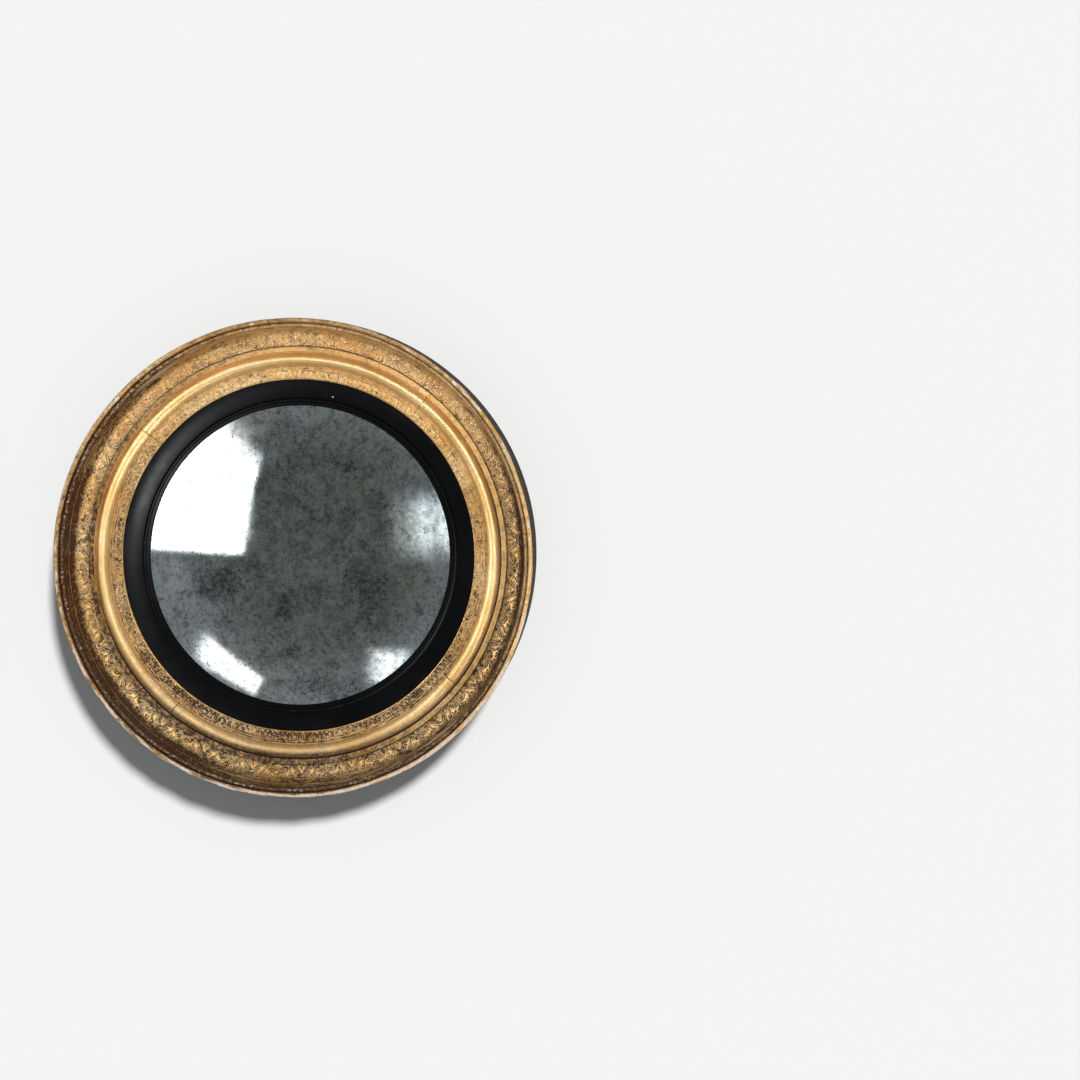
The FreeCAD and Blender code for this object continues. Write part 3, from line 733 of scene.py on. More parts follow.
ROLL_RUB_RADIUS = REED_OUTER + 1.2
RIM_CHIPS = [
    # angle, spread in degrees, place along the section from the inner wall, half width
    (139.0, 1.9, 28.2, 3.4), (100.0, 0.7, 28.0, 1.8), (47.5, 1.1, 29.5, 2.4), (43.5, 1.6, 28.8, 2.2),
    (38.5, 1.3, 29.0, 2.2), (36.0, 0.6, 24.0, 1.4), (27.0, 0.5, 28.0, 1.5), (8.0, 0.6, 29.5, 1.4),
    (187.0, 1.4, 30.0, 2.0), (192.5, 1.0, 29.0, 2.4), (203.0, 0.7, 29.5, 1.6), (214.0, 2.2, 30.5, 2.0),
    (224.0, 1.6, 30.5, 2.6), (232.0, 2.6, 30.5, 2.4), (241.0, 3.4, 31.0, 2.6), (250.0, 4.2, 31.0, 2.6),
    (259.0, 4.6, 31.0, 2.8), (268.0, 4.0, 31.0, 2.6), (277.5, 3.6, 31.0, 2.4), (287.0, 2.2, 30.5, 2.4),
    (297.0, 1.5, 30.0, 2.6), (303.0, 0.8, 28.0, 2.0), (318.0, 0.7, 30.0, 1.5), (334.0, 0.6, 30.0, 1.4),
]


def rim_shape(angles, points, marks):
    radius, height = points[None, :, 0], points[None, :, 1]
    grime = marks["grime"]
    shape = grime.shape
    lumps = soft_noise(shape, (8.0, 4.0), 31) * 0.06
    fine = soft_noise(shape, (2.0, 1.4), 32) * 0.02
    wall = (radius < WALL_TOP + 0.1) * (height > MIDDLE_COURSE_TOP + 0.5)
    # soot and painted shade on the hollow's wall, and pale scuffs that are partly painted light
    grime += wall_grime_and_shade(angles, height, 36) * wall
    marks["chip"] += wall_scuffs_and_light(angles, shape, 35) * wall
    top = height > REED_HEIGHT - 2.0
    on_roll = smoothstep(REED_OUTER - 0.1, REED_OUTER + 0.3, radius)
    # soot and painted shade round the ring on the reed and the roll
    grime += round_the_ring(angles, REED_SOOT_AND_SHADE) * (1.0 - on_roll) * top
    grime += round_the_ring(angles, ROLL_SOOT_AND_SHADE) * on_roll * top
    rubbed = soft_noise(shape, (8.0, 2.0), 34) * 0.8 + 2.6 * round_the_ring(angles, ROLL_WEAR) - 1.7
    crown = smoothstep(ROLL_RUB_RADIUS - 0.8, ROLL_RUB_RADIUS, radius)
    crown = crown * smoothstep(ROLL_HEIGHT - 0.8, ROLL_HEIGHT, height)
    rubbed = smoothstep(0.0, 0.9, rubbed) * crown
    marks["chip"] += 0.80 * rubbed
    seam = np.exp(-((radius - REED_OUTER) / 0.35) ** 2) * top * (height < ROLL_HEIGHT - 0.2)
    grime += 0.6 * seam
    lost = chips(angles, lengths_along(points), 33, RIM_CHIPS) * top
    marks["chip"] = np.maximum(marks["chip"], smoothstep(0.35, 0.7, lost))
    ends = arris(angles, radius, 0.3)
    grime += 0.6 * ends
    return lumps + fine - 0.85 * lost - 0.15 * rubbed - 0.2 * ends


# ---- gilt courses ----------------------------------------------------
def middle_section():
    half_round_middle = (HALF_ROUND_INNER + HALF_ROUND_RADIUS, BAND_HEIGHT)
    fill_height = BAND_HEIGHT + HALF_ROUND_RADIUS * math.sin(math.radians(CHANNEL_FILL_ANGLE))
    hollow_centre = (HOLLOW_START, FLOOR_HEIGHT + HOLLOW_RADIUS)
    under_ornament = -55.0      # the hollow is seen from this angle of its arc on
    return outline(
        (BORE_RADIUS, BACK_COURSE_TOP),
        (WOOD_ROW, (BORE_RADIUS, LIP_UNDERSIDE), 4.0),
        (WOOD_ROW, (LIP_RADIUS, LIP_UNDERSIDE), 4.0),
        (GILT_ROW, (LIP_RADIUS, BAND_HEIGHT), 0.7),
        (GILT_ROW, (BAND_OUTER_RADIUS - 0.6, BAND_HEIGHT), 2.0),
        (GILT_ROW, (HALF_ROUND_INNER, BAND_HEIGHT), 0.4),
        (BURNISHED_ROW, bow(half_round_middle, HALF_ROUND_RADIUS, 180.0, CHANNEL_FILL_ANGLE, 0.42)),
        (GILT_ROW, (HALF_ROUND_OUTER + CHANNEL_WIDTH, fill_height), 0.3),
        (GILT_ROW, (FILLET_INNER, FILLET_HEIGHT), 0.6),
        (GILT_ROW, (FILLET_OUTER, FILLET_HEIGHT), 0.5),
        (GILT_ROW, (FLOOR_INNER, FLOOR_HEIGHT), 0.7),
        (GILT_ROW, (HOLLOW_START, FLOOR_HEIGHT), 1.4),
        (GILT_ROW, bow(hollow_centre, HOLLOW_RADIUS, -90.0, under_ornament, 1.2)),
        (GILT_ROW, bow(hollow_centre, HOLLOW_RADIUS, under_ornament, 0.0, 0.5)),
        (GILT_ROW, (WALL_JOINT, MIDDLE_COURSE_TOP), 0.5),
        (WOOD_ROW, on_side(MIDDLE_COURSE_TOP), 4.0),
        (SIDE_ROW, on_side(BACK_COURSE_TOP), 1.0),
        (WOOD_ROW, (BORE_RADIUS, BACK_COURSE_TOP), 9.0),
    )


def rim_section():
    roll_centre = (REED_OUTER + ROLL_RADIUS, ROLL_HEIGHT)
    gilt_until = 35.0           # the wash on the side starts at this angle of the roll
    return outline(
        (WALL_JOINT, MIDDLE_COURSE_TOP),
        (GILT_ROW, (WALL_TOP, REED_HEIGHT), 0.5),
        (GILT_ROW, bow((WALL_TOP + REED_RADIUS, REED_HEIGHT), REED_RADIUS, 180.0, 0.0, 0.33)),
        (GILT_ROW, (REED_OUTER, ROLL_HEIGHT), 0.5),
        (GILT_ROW, bow(roll_centre, ROLL_RADIUS, 180.0, gilt_until, 0.33)),
        (SIDE_ROW, bow(roll_centre, ROLL_RADIUS, gilt_until, 0.0, 0.33)),
        (SIDE_ROW, on_side(MIDDLE_COURSE_TOP), 0.9),
        (WOOD_ROW, (WALL_JOINT, MIDDLE_COURSE_TOP), 4.0),
    )


def course(kind, section, first_joint, crack, mean_radius, step, shape):
    """Four curved segments of one course; each stands for its CAD node."""
    half_crack = math.degrees(crack / 2.0 / mean_radius)
    for index in range(4):
        start = first_joint + 90.0 * index
        angles = joint_angles(start + half_crack, start + 90.0 - half_crack, step)
        node = f"{kind}_segment_{index + 1}"
        piece = lathe(node + "_gilt", section, angles, FRAME_FINISHES, shape, cap_finish=WOOD_ROW)
        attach(piece, "frame")
        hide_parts(node)


# ---- pressed ornament ------------------------------------------------
STROKE_SLIMNESS = 0.80          # the moulds' strokes have shrunk and worn this much narrower


def ridges(x, y, strokes):
    """Round-backed ridges; a stroke is a path of points, the half width of its two ends and its height."""
    best = np.zeros(np.broadcast(x, y).shape)
    for path, first_width, last_width, height in strokes:
        widths = np.linspace(first_width, last_width, len(path)) * STROKE_SLIMNESS
        for start, end, wide in zip(path[:-1], path[1:], (widths[:-1] + widths[1:]) / 2.0):
            run = np.subtract(end, start)
            share = ((x - start[0]) * run[0] + (y - start[1]) * run[1]) / max(run @ run, 1e-9)
            share = np.clip(share, 0.0, 1.0)
            away = np.hypot(x - start[0] - share * run[0], y - start[1] - share * run[1]) / wide
            best = np.maximum(best, height * np.sqrt(np.clip(1.0 - away ** 2, 0.0, 1.0)))
    return best


def curl(centre, radius, first, last, points=9, tighten=0.0):
    """Points of a scroll about a centre, drawn in by a share of its radius at its end."""
    turn = np.radians(np.linspace(first, last, points))
    reach = radius * (1.0 - tighten * np.linspace(0.0, 1.0, points))
    return [(centre[0] + r * math.cos(t), centre[1] + r * math.sin(t)) for r, t in zip(reach, turn)]


# strokes of one repeat, measured from its middle line and from the band's inner edge: a path, the half
# width of its two ends and its height
TENT_STROKES = [
    ([(0.9, 12.0), (3.6, 8.0), (7.0, 4.4), (10.4, 1.6)], 0.9, 1.3, 2.3),
    ([(0.7, 9.6), (2.5, 6.4), (4.6, 3.4), (6.4, 1.8)], 0.75, 1.0, 1.9),
    ([(0.0, 2.6), (0.0, 5.4)], 0.85, 0.85, 1.5),
    ([(0.0, 11.4), (0.0, 13.2)], 1.5, 1.5, 2.1),
    (curl((3.7, 12.0), 1.35, -120.0, 190.0), 0.78, 0.78, 1.8),
    ([(5.6, 9.6), (7.4, 7.4)], 0.95, 0.95, 1.7),
    ([(12.5, 1.6), (13.1, 4.4), (12.0, 7.8), (10.2, 9.8)], 1.4, 0.9, 2.2),
    (curl((9.7, 11.3), 1.45, -60.0, 240.0), 0.8, 0.8, 1.8),
    ([(15.3, 3.2), (15.8, 7.0)], 0.9, 0.7, 1.6),
    ([(13.6, 10.2), (14.4, 12.6)], 1.2, 0.8, 1.8),
    ([(8.6, 4.9), (9.8, 3.6)], 0.75, 0.75, 1.4),
]
# the same for the round leaf between two tents, measured from its own middle line
ROUND_LEAF_STROKES = [
    ([(0.0, 1.2), (0.0, 12.8)], 1.2, 0.8, 2.0),
    (curl((4.6, 5.6), 3.5, -110.0, 200.0, 13, 0.4), 1.35, 0.85, 2.35),
    ([(4.5, 5.5), (5.1, 6.1)], 1.2, 1.2, 1.9),
    ([(0.5, 7.8), (2.2, 10.3), (4.8, 11.8)], 1.1, 0.8, 2.0),
    (curl((2.5, 12.9), 1.2, -60.0, 200.0), 0.7, 0.7, 1.6),
    ([(1.0, 2.3), (3.2, 1.8), (8.4, 1.9)], 1.0, 1.0, 1.7),
    ([(7.6, 10.6), (9.2, 12.4)], 1.2, 0.8, 1.9),
]


def leaf_height(x, y, pitch):
    """Height of one repeat: a tent of stems with a hollow middle, then a round curled leaf."""
    side = np.abs(x)
    base_line = ([(0.0, 0.85), (pitch / 2.0, 0.85)], 0.8, 0.8, 1.25)
    tent = ridges(side, y, TENT_STROKES + [base_line])
    leaf = ridges(np.abs(side - pitch / 2.0), y, ROUND_LEAF_STROKES)
    return np.maximum(tent, leaf) * smoothstep(13.6, 12.9, y)


def tongue_height(x, y, pitch):
    """Height of one repeat: two rows of small leaf tips, a plain flat and two fine lines."""
    side = np.abs(x)
    tips = ridges(np.abs(side - pitch / 4.0), y, [
        ([(0.0, 1.5), (0.0, 1.9)], 1.25, 1.25, 1.55), ([(0.0, 5.4), (0.0, 7.0)], 0.8, 0.8, 0.95)])
    middle = ridges(side, y, [
        ([(0.0, 3.9), (0.0, 6.6)], 1.45, 0.9, 1.35), ([(0.0, 9.3), (pitch, 9.3)], 1.0, 1.0, 0.95),
        ([(0.0, 10.9), (pitch, 10.9)], 0.42, 0.42, 0.6)])
    between = ridges(side - pitch / 2.0, y, [([(0.0, 3.7), (0.0, 6.9)], 1.15, 0.7, 1.45)])
    flat = 0.42 * smoothstep(0.2, 0.9, y) * smoothstep(8.2, 7.2, y)
    return np.maximum.reduce([tips, middle, between, flat])


def leaf_grime_and_shade(angles, across):
    """Soot and painted shade on the leaf ornament, thicker towards the foot of the wall."""
    foot = 0.22 * smoothstep(8.0, 13.0, across)
    return round_the_ring(angles, LEAF_SOOT_AND_SHADE) + foot * round_the_ring(angles, WALL_SOOT_AND_SHADE)


# soot and painted shade round the ring on the tongue ornament
def tongue_grime_and_shade(angles, across):
    return round_the_ring(angles, TONGUE_SOOT_AND_SHADE) * np.ones_like(across)


def leaf_base():
    """The line of the section that the leaf band lies on."""
    flat = straight((FLOOR_INNER + LEAF_MARGIN, FLOOR_HEIGHT), (HOLLOW_START, FLOOR_HEIGHT), GRID_STEP)
    centre = (HOLLOW_START, FLOOR_HEIGHT + HOLLOW_RADIUS)
    climb = bow(centre, HOLLOW_RADIUS, -90.0, -90.0 + LEAF_COVER_ANGLE, GRID_STEP)
    return np.vstack([flat[:-1], climb])


def tongue_base():
    """The line of the section that the tongue band lies on."""
    start = (LIP_RADIUS + TONGUE_MARGIN, BAND_HEIGHT)
    return straight(start, (BAND_OUTER_RADIUS - TONGUE_MARGIN, BAND_HEIGHT), GRID_STEP)


# edge is the radius at which the gap between strips is measured, and step the grid's angle; wander,
# crust and rough are hand-made unevenness, sink how deep the ground lies, reach, contrast and ground say
# where dirt has settled, and dots how much of it lies in specks
BANDS = [
    {"kind": "leaf", "motif": leaf_height, "base": leaf_base(), "repeats": LEAF_REPEATS,
     "strips": LEAF_STRIPS, "relief": LEAF_RELIEF, "edge": HOLLOW_START, "step": 0.083, "cracks": [],
     "seed": 41, "wander": 0.28, "crust": 0.22, "rough": 0.10, "sink": 0.30, "reach": (4.5, 4.5),
     "contrast": 0.75, "ground": 0.9, "dots": 0.60, "grime": leaf_grime_and_shade, "dirt_and_shade": LEAF_DIRT_AND_SHADE,
     "finish": LEAF_GILT},
    {"kind": "tongue", "motif": tongue_height, "base": tongue_base(), "repeats": TONGUE_REPEATS,
     "strips": TONGUE_STRIPS, "relief": TONGUE_RELIEF, "edge": LIP_RADIUS, "step": 0.098,
     "cracks": [MIDDLE_JOINT_ANGLE + 90.0 * k for k in range(1, 4)],
     "seed": 61, "wander": 0.12, "crust": 0.12, "rough": 0.08, "sink": 0.10, "reach": (4.0, 4.0),
     "contrast": 0.60, "ground": 0.30, "dots": 0.45, "grime": tongue_grime_and_shade, "dirt_and_shade": TONGUE_DIRT_AND_SHADE,
     "finish": TONGUE_GILT},
]


def ornament_strip(band, index):
    """A strip of pressed ornament on a line of the section, with worn tops, dirt in its hollows, and soot
    and painted shade round the ring.
    """
    points = band["base"]
    across = lengths_along(points)
    along = np.gradient(points, axis=0)
    normals = np.column_stack([-along[:, 1], along[:, 0]])
    normals /= np.linalg.norm(normals, axis=1)[:, None]
    mean_radius = points[:, 0].mean()
    span = 360.0 / band["strips"]
    half_gap = math.degrees(STRIP_GAP / 2.0 / band["edge"])
    joint = MIDDLE_JOINT_ANGLE + index * span
    start = joint + half_gap
    end = joint + span - half_gap
    angles = np.linspace(start, end, int((end - start) / band["step"]))
    shape = (len(angles), len(points))
    seed = band["seed"] + 5 * index
    # the motif, wandering a little; each repeat was pressed more or less deep
    repeat = 360.0 / band["repeats"]
    pitch = math.radians(repeat) * mean_radius
    wander = soft_noise(shape, (14.0, 7.0), seed) * band["wander"]
    number = np.floor((angles - MIDDLE_JOINT_ANGLE) / repeat)
    local = ((angles - MIDDLE_JOINT_ANGLE) / repeat - number - 0.5) * pitch
    field = band["motif"](local[:, None] + wander, across + wander * 0.6, pitch)
    rng = np.random.default_rng(SEED + seed)
    strength = rng.uniform(0.82, 1.0, band["repeats"] + 2)[(number - number.min()).astype(int)]
    worn = np.clip(soft_noise(shape, (26.0, 12.0), seed + 1) * 0.5, -0.6, 1.0)
    rough = soft_noise(shape, (1.3, 1.2), seed + 2)
    pits = soft_noise(shape, (3.2, 3.0), seed + 3)
    height = soften(field, (0.9, 0.8)) * strength[:, None] * (1.0 - 0.16 * np.clip(worn, 0.0, 1.0))
    height = height + rough * band["rough"] + pits * band["crust"] * (field > 0.05)
    height = np.minimum(height, band["relief"]) - band["sink"] * (1.0 - smoothstep(0.0, 0.35, field))
    # soot and painted shade round the ring
    grime = band["grime"](angles[:, None], across) * np.clip(0.75 + 0.3 * worn, 0.0, 1.3)
    for crack in band["cracks"]:
        away = np.abs(np.radians(angles - crack)) * mean_radius
        height = height - (0.9 * np.exp(-(away / 0.24) ** 4))[:, None]
        grime = np.maximum(grime, np.exp(-(away / 0.34) ** 4)[:, None])
    # dirt lies where the surface is lower than what surrounds it; round the ring its strength also holds
    # painted shade
    relative = (height - soften(height, band["reach"])) / band["contrast"]
    dirt_and_shade = round_the_ring(angles, band["dirt_and_shade"])[:, None]
    hollow = np.maximum(smoothstep(-0.02, -0.85, relative), band["ground"] * smoothstep(0.75, 0.15, height))
    dots = smoothstep(0.6, 1.7, soft_noise(shape, (3.4, 2.8), seed + 2500))
    marks = {
        "hollow": np.clip(hollow * dirt_and_shade + band["dots"] * dots * dirt_and_shade, 0.0, 1.0),
        "proud": smoothstep(0.08, 0.80, relative),
        "chip": smoothstep(2.5, 3.1, soft_noise(shape, (5.0, 4.0), seed + 4)) * (field > 0.6),
        "grime": np.clip(grime, 0.0, 1.3),
    }
    out, up = carver_drift(angles)
    radius = points[None, :, 0] + height * normals[None, :, 0] + out[:, None]
    level = points[None, :, 1] + height * normals[None, :, 1] + up[:, None]
    space = to_space(radius, level, angles[:, None])
    node = f"{band['kind']}_strip_{index + 1}"
    quads = grid_quads(*shape)
    piece = make_mesh(node + "_pressed", space.reshape(-1, 3), quads, [band["finish"]], marks=marks)
    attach(piece, "frame")
    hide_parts(node)


# ---- slip and glass --------------------------------------------------
def slip_shape(_angles, _points, marks):
    shape = marks["grime"].shape
    return soft_noise(shape, (30.0, 4.0), 71) * 0.015 + soft_noise(shape, (3.0, 1.5), 72) * 0.006


def slip_section():
    seat = SLIP_LIP_HEIGHT - 0.8
    reed_floor = SLIP_BEVEL[1] - SLIP_REED_SINK
    reed_centre = (SLIP_BEVEL[0] + SLIP_REED_RADIUS, reed_floor)
    # the face swells a little between the reed and the frame's lip
    inner = np.array([SLIP_BEVEL[0] + 2.0 * SLIP_REED_RADIUS, reed_floor])
    outer = np.array([LIP_RADIUS, LIP_UNDERSIDE])
    share = np.linspace(0.0, 1.0, 46)[:, None]
    tilt = np.array([inner[1] - outer[1], outer[0] - inner[0]]) / math.dist(inner, outer)
    face = inner + share * (outer - inner) + 4.0 * SLIP_FACE_BULGE * share * (1.0 - share) * tilt
    return outline(
        (SLIP_REBATE_RADIUS, SLIP_BACK_HEIGHT),
        (EBONY_ROW, (SLIP_REBATE_RADIUS, seat), 2.0),
        (EBONY_ROW, (SIGHT_RADIUS, seat), 2.0),
        (EBONY_ROW, (SIGHT_RADIUS, SLIP_LIP_HEIGHT), 0.3),
        (EBONY_ROW, SLIP_BEVEL, 0.4),
        (EBONY_ROW, (SLIP_BEVEL[0], reed_floor), 0.4),
        (EBONY_ROW, bow(reed_centre, SLIP_REED_RADIUS, 180.0, 0.0, 0.3)),
        (EBONY_ROW, face),
        (EBONY_ROW, (SLIP_OUTER_RADIUS, LIP_UNDERSIDE), 2.0),
        (EBONY_ROW, (SLIP_OUTER_RADIUS, SLIP_BACK_HEIGHT), 4.0),
        (EBONY_ROW, (SLIP_REBATE_RADIUS, SLIP_BACK_HEIGHT), 6.0),
    )


def make_slip():
    angles = np.arange(720) * 0.5
    section = slip_section()
    piece = lathe("ebonised_slip_turned", section, angles, [EBONISED], slip_shape, drift=False, full=True)
    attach(piece, "frame")
    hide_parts("ebonised_slip")
    return piece


GLASS_STAINS = [
    # across, up, half width, half height, strength: dark clusters in the silvering
    (-76.0, -27.0, 27.0, 18.0, 1.0), (-13.0, -53.0, 8.0, 15.0, 1.0), (-7.0, -93.0, 8.0, 8.0, 0.8),
    (-15.0, 128.0, 16.0, 10.0, 0.7), (-13.0, 84.0, 18.0, 13.0, 0.75), (46.0, 90.0, 15.0, 9.0, 0.7),
    (68.0, -29.0, 22.0, 29.0, 0.75), (-33.0, 60.0, 8.0, 34.0, 0.6), (-40.0, -20.0, 10.0, 16.0, 0.6),
    (85.0, 40.0, 18.0, 16.0, 0.4), (30.0, -128.0, 40.0, 14.0, 0.6), (-60.0, -60.0, 30.0, 12.0, 0.45),
]
GLASS_HAZE = [
    # the same for pale, clouded patches
    (-36.0, 24.0, 14.0, 30.0, 0.35), (-122.0, -22.0, 20.0, 15.0, 0.9), (-66.0, -52.0, 40.0, 16.0, 0.55),
    (127.0, -19.0, 16.0, 32.0, 0.6), (-48.0, 128.0, 20.0, 12.0, 0.7), (8.0, 136.0, 16.0, 9.0, 0.6),
    (0.0, -16.0, 24.0, 14.0, 0.35), (88.0, 8.0, 16.0, 22.0, 0.35), (-95.0, -90.0, 24.0, 22.0, 0.6),
    (118.0, -70.0, 14.0, 34.0, 0.45), (96.0, 84.0, 26.0, 20.0, 0.25),
]


def glass_patches(across, up, places):
    """From 0 to the strength of the nearest patch, at places on the glass."""
    total = np.zeros(across.shape)
    for x, z, wide, tall, strength in places:
        away = ((across - x) / wide) ** 2 + ((up - z) / tall) ** 2
        total = np.maximum(total, strength * smoothstep(1.9, 0.1, away))
    return total


def dome(radii, curve):
    """Places of a section of the glass, whose domes have one centre behind it."""
    centre_height = GLASS_EDGE_HEIGHT - math.sqrt(GLASS_CURVE ** 2 - GLASS_RADIUS ** 2)
    return np.column_stack([radii, centre_height + np.sqrt(curve ** 2 - radii ** 2)])


def make_glass():
    """A closed lens: the front and back of the bent glass, from its middle to its ground edge."""
    front = dome(np.linspace(0.4, GLASS_RADIUS, 110), GLASS_CURVE)
    back = dome(np.linspace(GLASS_RADIUS, 0.4, 24), GLASS_CURVE - GLASS_THICKNESS)
    section = np.vstack([front, back])
    angles = np.arange(300) * 1.2
    space = to_space(section[None, :, 0], section[None, :, 1], angles[:, None])
    quads = grid_quads(len(angles), len(section), closed_columns=True)
    front_middle = np.arange(len(angles)) * len(section)
    back_middle = front_middle + len(section) - 1
    across, up = space[..., 0] / MM, space[..., 2] / MM
    marks = {"stain": glass_patches(across, up, GLASS_STAINS), "haze": glass_patches(across, up, GLASS_HAZE)}
    piece = make_mesh("convex_glass_bent", space.reshape(-1, 3), quads, [MIRROR],
                      caps=[front_middle[::-1], back_middle], marks=marks)
    for polygon in piece.data.polygons[len(quads):]:
        polygon.use_smooth = True
    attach(piece, "frame")
    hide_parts("convex_glass")
    return piece


# ---- finishes of the CAD nodes that stay -----------------------------
METALS = [
    # CAD node, material, bright colour, tarnished colour, how much is tarnished, roughness
    ("hanger_plate", "plate_brass", (0.46, 0.30, 0.11), (0.085, 0.055, 0.028), 0.85, 0.42),
    ("hanger_ring", "ring_brass", (0.52, 0.35, 0.13), (0.10, 0.065, 0.032), 0.60, 0.36),
    ("hanger_screws", "screw_brass", (0.50, 0.34, 0.14), (0.09, 0.06, 0.03), 0.60, 0.40),
    ("backboard_nails", "nail_iron", (0.16, 0.15, 0.145), (0.14, 0.06, 0.025), 0.8, 0.5),
    ("slip_brad", "brad_steel", (0.72, 0.69, 0.64), (0.34, 0.27, 0.20), 0.4, 0.4),
    ("silvering", "mirror_silvering", (0.45, 0.46, 0.46), (0.10, 0.06, 0.04), 0.5, 0.3),
]


def dress(prefix, material):
    for name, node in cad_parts.items():
        if name.startswith(prefix):
            node.data.materials.clear()
            node.data.materials.append(material)


def dress_nodes():
    for index in range(4):
        grain = (9.0, 60.0, 0.9) if index % 2 else (0.9, 60.0, 9.0)
        wood = bare_wood(f"back_wood_{index + 1}", grain, 3.7 * index, washed=True)
        dress(f"back_segment_{index + 1}", wood)
    for node, shift in (("backboard_left", 0.0), ("backboard_middle", 5.3), ("backboard_right", 9.1)):
        pine = bare_wood(node + "_pine", (10.0, 40.0, 0.8), shift, (0.42, 0.26, 0.12), (0.22, 0.115, 0.048))
        dress(node, pine)
    blocks = bare_wood("block_pine", (8.0, 8.0, 8.0), 0.0, (0.40, 0.25, 0.12), (0.22, 0.12, 0.05))
    dress("glass_blocks", blocks)
    for node, *metal in METALS:
        dress(node, old_metal(*metal))


# ---- wall, lights and camera -----------------------------------------
WALL_COLOUR = (0.905, 0.905, 0.905)
KEY_DIRECTION = (19.7, 31.4)    # azimuth and elevation seen from the glass, in degrees
KEY_SPREAD = 7.5
STUDIO_DISTANCE = 2.6
WALL_HALF = 6.0
WALL_GAP = 0.0004
STUDIO_MIDDLE = (0.130, 0.138, 0.132)
STUDIO_SIDES = (0.235, 0.245, 0.250)
BEHIND_COLOUR = (0.70, 0.70, 0.70)


def direction(azimuth, elevation):
    """Unit vector from the mirror into the room; azimuth to the right of someone behind the glass."""
    a, e = math.radians(azimuth), math.radians(elevation)
    return Vector((math.sin(a) * math.cos(e), -math.cos(a) * math.cos(e), math.sin(e)))


def panel(name, corners, material):
    """A flat piece of the stage that throws no shadow and isn't seen by matt things."""
    mesh = bpy.data.meshes.new(name)
    mesh.from_pydata(corners, [], [(0, 1, 2, 3)])
    mesh.materials.append(material)
    made = bpy.data.objects.new(name, mesh)
    bpy.context.scene.collection.objects.link(made)
    made.visible_shadow = False
    made.visible_diffuse = False
    made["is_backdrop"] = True
    return made


def make_wall():
    """The wall, which is clear to a camera behind it."""
    s = new_shader("wall_paint")
    paint = s.node("ShaderNodeBsdfDiffuse", {"Color": WALL_COLOUR})
    clear = s.node("ShaderNodeBsdfTransparent")
    s.blend(s.node("ShaderNodeNewGeometry").outputs["Backfacing"], paint, clear)
    signs = ((-1, -1), (1, -1), (1, 1), (-1, 1))
    corners = [(across * WALL_HALF, WALL_GAP, up * WALL_HALF) for across, up in signs]
    return panel("wall", corners, s.owner)


def make_world():
    """A pale backdrop to the camera, and a dim studio in front of a pale wall to everything else."""
    world = bpy.data.worlds.new("studio")
    bpy.context.scene.world = world
    s = Shader(world, "ShaderNodeOutputWorld")
    depth = s.split(s.node("ShaderNodeTexCoord").outputs["Generated"])[1]
    room = s.mix(depth.ramp(-0.94, -0.70), STUDIO_MIDDLE, STUDIO_SIDES)
    studio = s.mix(depth.ramp(-0.10, 0.12), room, BEHIND_COLOUR)
    studio = s.node("ShaderNodeBackground", {"Color": studio})
    backdrop = s.node("ShaderNodeBackground", {"Color": WALL_COLOUR})
    s.blend(s.node("ShaderNodeLightPath").outputs["Is Camera Ray"], studio, backdrop)


def sun(name, place, strength, spread, colour, lit):
    """A distant lamp that lights only some of the things in the scene."""
    lamp = bpy.data.lights.new(name, "SUN")
    lamp.energy = strength
    lamp.angle = math.radians(spread)
    lamp.color = colour
    light = bpy.data.objects.new(name, lamp)
    light.rotation_euler = direction(*place).to_track_quat("Z", "Y").to_euler()
    bpy.context.scene.collection.objects.link(light)
    light_only(light, lit)


def light_only(light, lit):
    """Keep a lamp's light, or a glowing panel's, to some of the things in the scene."""
    group = bpy.data.collections.new("lit_by_" + light.name)
    for thing in lit:
        group.objects.link(thing)
    light.light_linking.receiver_collection = group


def make_lamps(slip, glass, wall, softboxes):
    """One lamp throws the shadow on the wall; the others light the frame from the softboxes' sides.

    The glass takes no lamp: what it shows are the softboxes and the room. The slip is nearly matt,
    so it takes one lamp of its own and no softbox.
    """
    solids = [thing for thing in bpy.data.objects
              if thing.type == "MESH" and thing not in (slip, glass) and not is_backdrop(thing)]
    sun("key_on_wall", KEY_DIRECTION, 3.12, KEY_SPREAD, (1.0, 0.995, 0.99), [wall])
    sun("key_front", (8.0, 9.0), 1.04, 22.0, (1.0, 0.985, 0.96), solids)
    sun("light_high_right", (50.0, 36.0), 0.92, 22.0, (1.0, 0.99, 0.97), solids)
    sun("light_left", (-56.0, 4.0), 0.72, 30.0, (0.98, 0.99, 1.0), solids)
    sun("light_low_right", (34.0, -30.0), 1.12, 24.0, (1.0, 0.99, 0.98), solids)
    sun("sheen_on_slip", (22.0, -20.0), 1.7, 14.0, (0.93, 0.95, 1.0), [slip])
    for panel in softboxes:
        light_only(panel, solids + [glass])


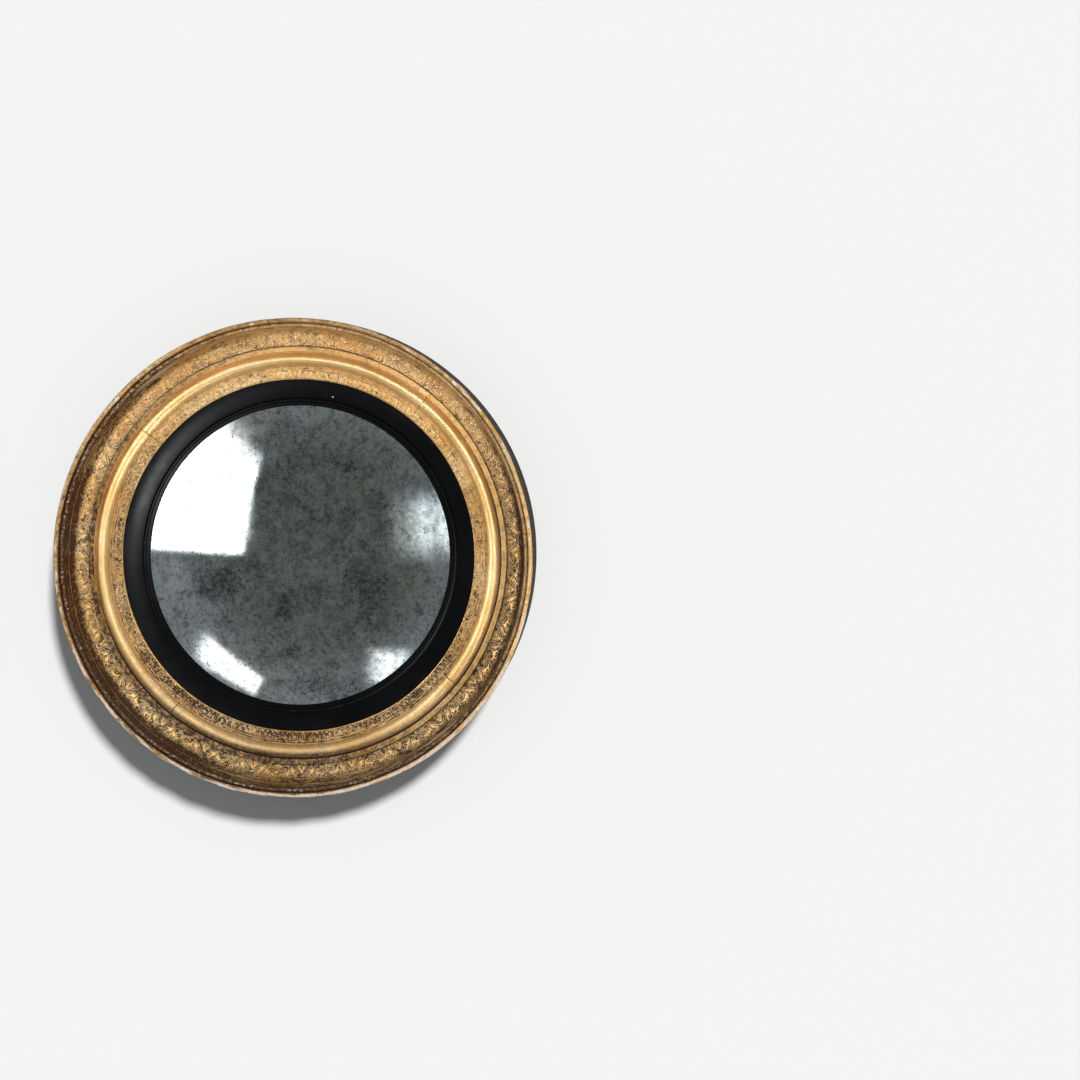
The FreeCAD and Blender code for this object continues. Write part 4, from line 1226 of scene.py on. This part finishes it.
def softbox(name, corners, strength, soft, colour=(1.0, 1.0, 1.0), streaks=0.0):
    """A glowing panel whose corners lie in given directions from the glass.

    The corners run anticlockwise from the low left one; soft is the width of the faded border, as a
    share of the panel, at the left, the right, the bottom and the top.
    """
    s = new_shader(name + "_cloth")
    parts = s.split(s.node("ShaderNodeUVMap", uv_map="panel").outputs[0])
    share = 1.0
    for axis in (0, 1):
        share = parts[axis].ramp(0.0, soft[2 * axis]) * share
        share = parts[axis].ramp(1.0, 1.0 - soft[2 * axis + 1]) * share
    if streaks:
        slant = s.stretch((30.0, 30.0, 3.0), turn=(0.0, math.radians(35.0), 0.0))
        share = share * s.noise(0.25, 4.0, 0.6, slant).ramp(0.35, 0.62, 1.0 - streaks, 1.2)
    glow = s.node("ShaderNodeEmission", {"Color": colour, "Strength": share * strength})
    clear = s.node("ShaderNodeBsdfTransparent")
    both = s.node("ShaderNodeAddShader", {0: clear.outputs[0], 1: glow.outputs[0]})
    s.join(both.outputs[0], s.output.inputs["Surface"])
    made = panel(name, [direction(*corner) * STUDIO_DISTANCE for corner in corners], s.owner)
    layer = made.data.uv_layers.new(name="panel")
    for loop, uv in zip(layer.data, ((0, 0), (1, 0), (1, 1), (0, 1))):
        loop.uv = uv
    made.visible_camera = False
    return made


def make_softboxes():
    return [
        softbox("softbox_left", [(-64.0, -2.0), (-24.3, -3.6), (-20.2, 26.0), (-60.0, 47.0)], 3.4,
                (0.02, 0.012, 0.03, 0.22)),
        softbox("softbox_low", [(-45.0, -29.0), (-27.5, -42.5), (-22.5, -38.0), (-39.5, -22.5)], 2.3,
                (0.28, 0.04, 0.1, 0.08)),
        softbox("window_right", [(15.5, -7.0), (42.0, -7.0), (42.0, 16.0), (15.5, 16.0)], 1.12,
                (0.5, 0.3, 0.4, 0.4), (0.85, 0.93, 1.0), 0.6),
        softbox("lamp_low_right", [(9.0, -43.0), (28.0, -43.0), (28.0, -28.5), (9.0, -28.5)], 2.4,
                (0.45, 0.4, 0.4, 0.4), (0.95, 0.98, 1.0), 0.8),
    ]


CAMERA_PLACE = (0.2354, -1.506, 0.108)
PHOTO_SIZE = 1080.0
FOCAL_PIXELS = 1512.0
PRINCIPAL_ROW = 445.0           # the photograph is cut so that its optical axis lies above its middle
SENSOR_WIDTH = 36.0


def make_camera():
    lens = bpy.data.cameras.new("camera")
    lens.sensor_width = SENSOR_WIDTH
    lens.sensor_fit = "HORIZONTAL"
    lens.lens = SENSOR_WIDTH * FOCAL_PIXELS / PHOTO_SIZE
    lens.shift_y = (PRINCIPAL_ROW - PHOTO_SIZE / 2.0) / PHOTO_SIZE
    lens.clip_end = 50.0
    camera = bpy.data.objects.new("camera", lens)
    camera.location = CAMERA_PLACE
    camera.rotation_euler = (math.radians(90.0), 0.0, 0.0)
    bpy.context.scene.collection.objects.link(camera)
    bpy.context.scene.camera = camera


# ---- the scene -------------------------------------------------------
course("middle", middle_section(), MIDDLE_JOINT_ANGLE, MIDDLE_CRACK, MIDDLE_MEAN_RADIUS,
       MIDDLE_STEP, middle_shape)
course("rim", rim_section(), RIM_JOINT_ANGLE, RIM_CRACK, RIM_MEAN_RADIUS, RIM_STEP, rim_shape)
for band in BANDS:
    for index in range(band["strips"]):
        ornament_strip(band, index)
slip = make_slip()
glass = make_glass()
dress_nodes()
wall = make_wall()
make_world()
softboxes = make_softboxes()
make_lamps(slip, glass, wall, softboxes)
make_camera()
bpy.context.scene.view_settings.view_transform = "Standard"
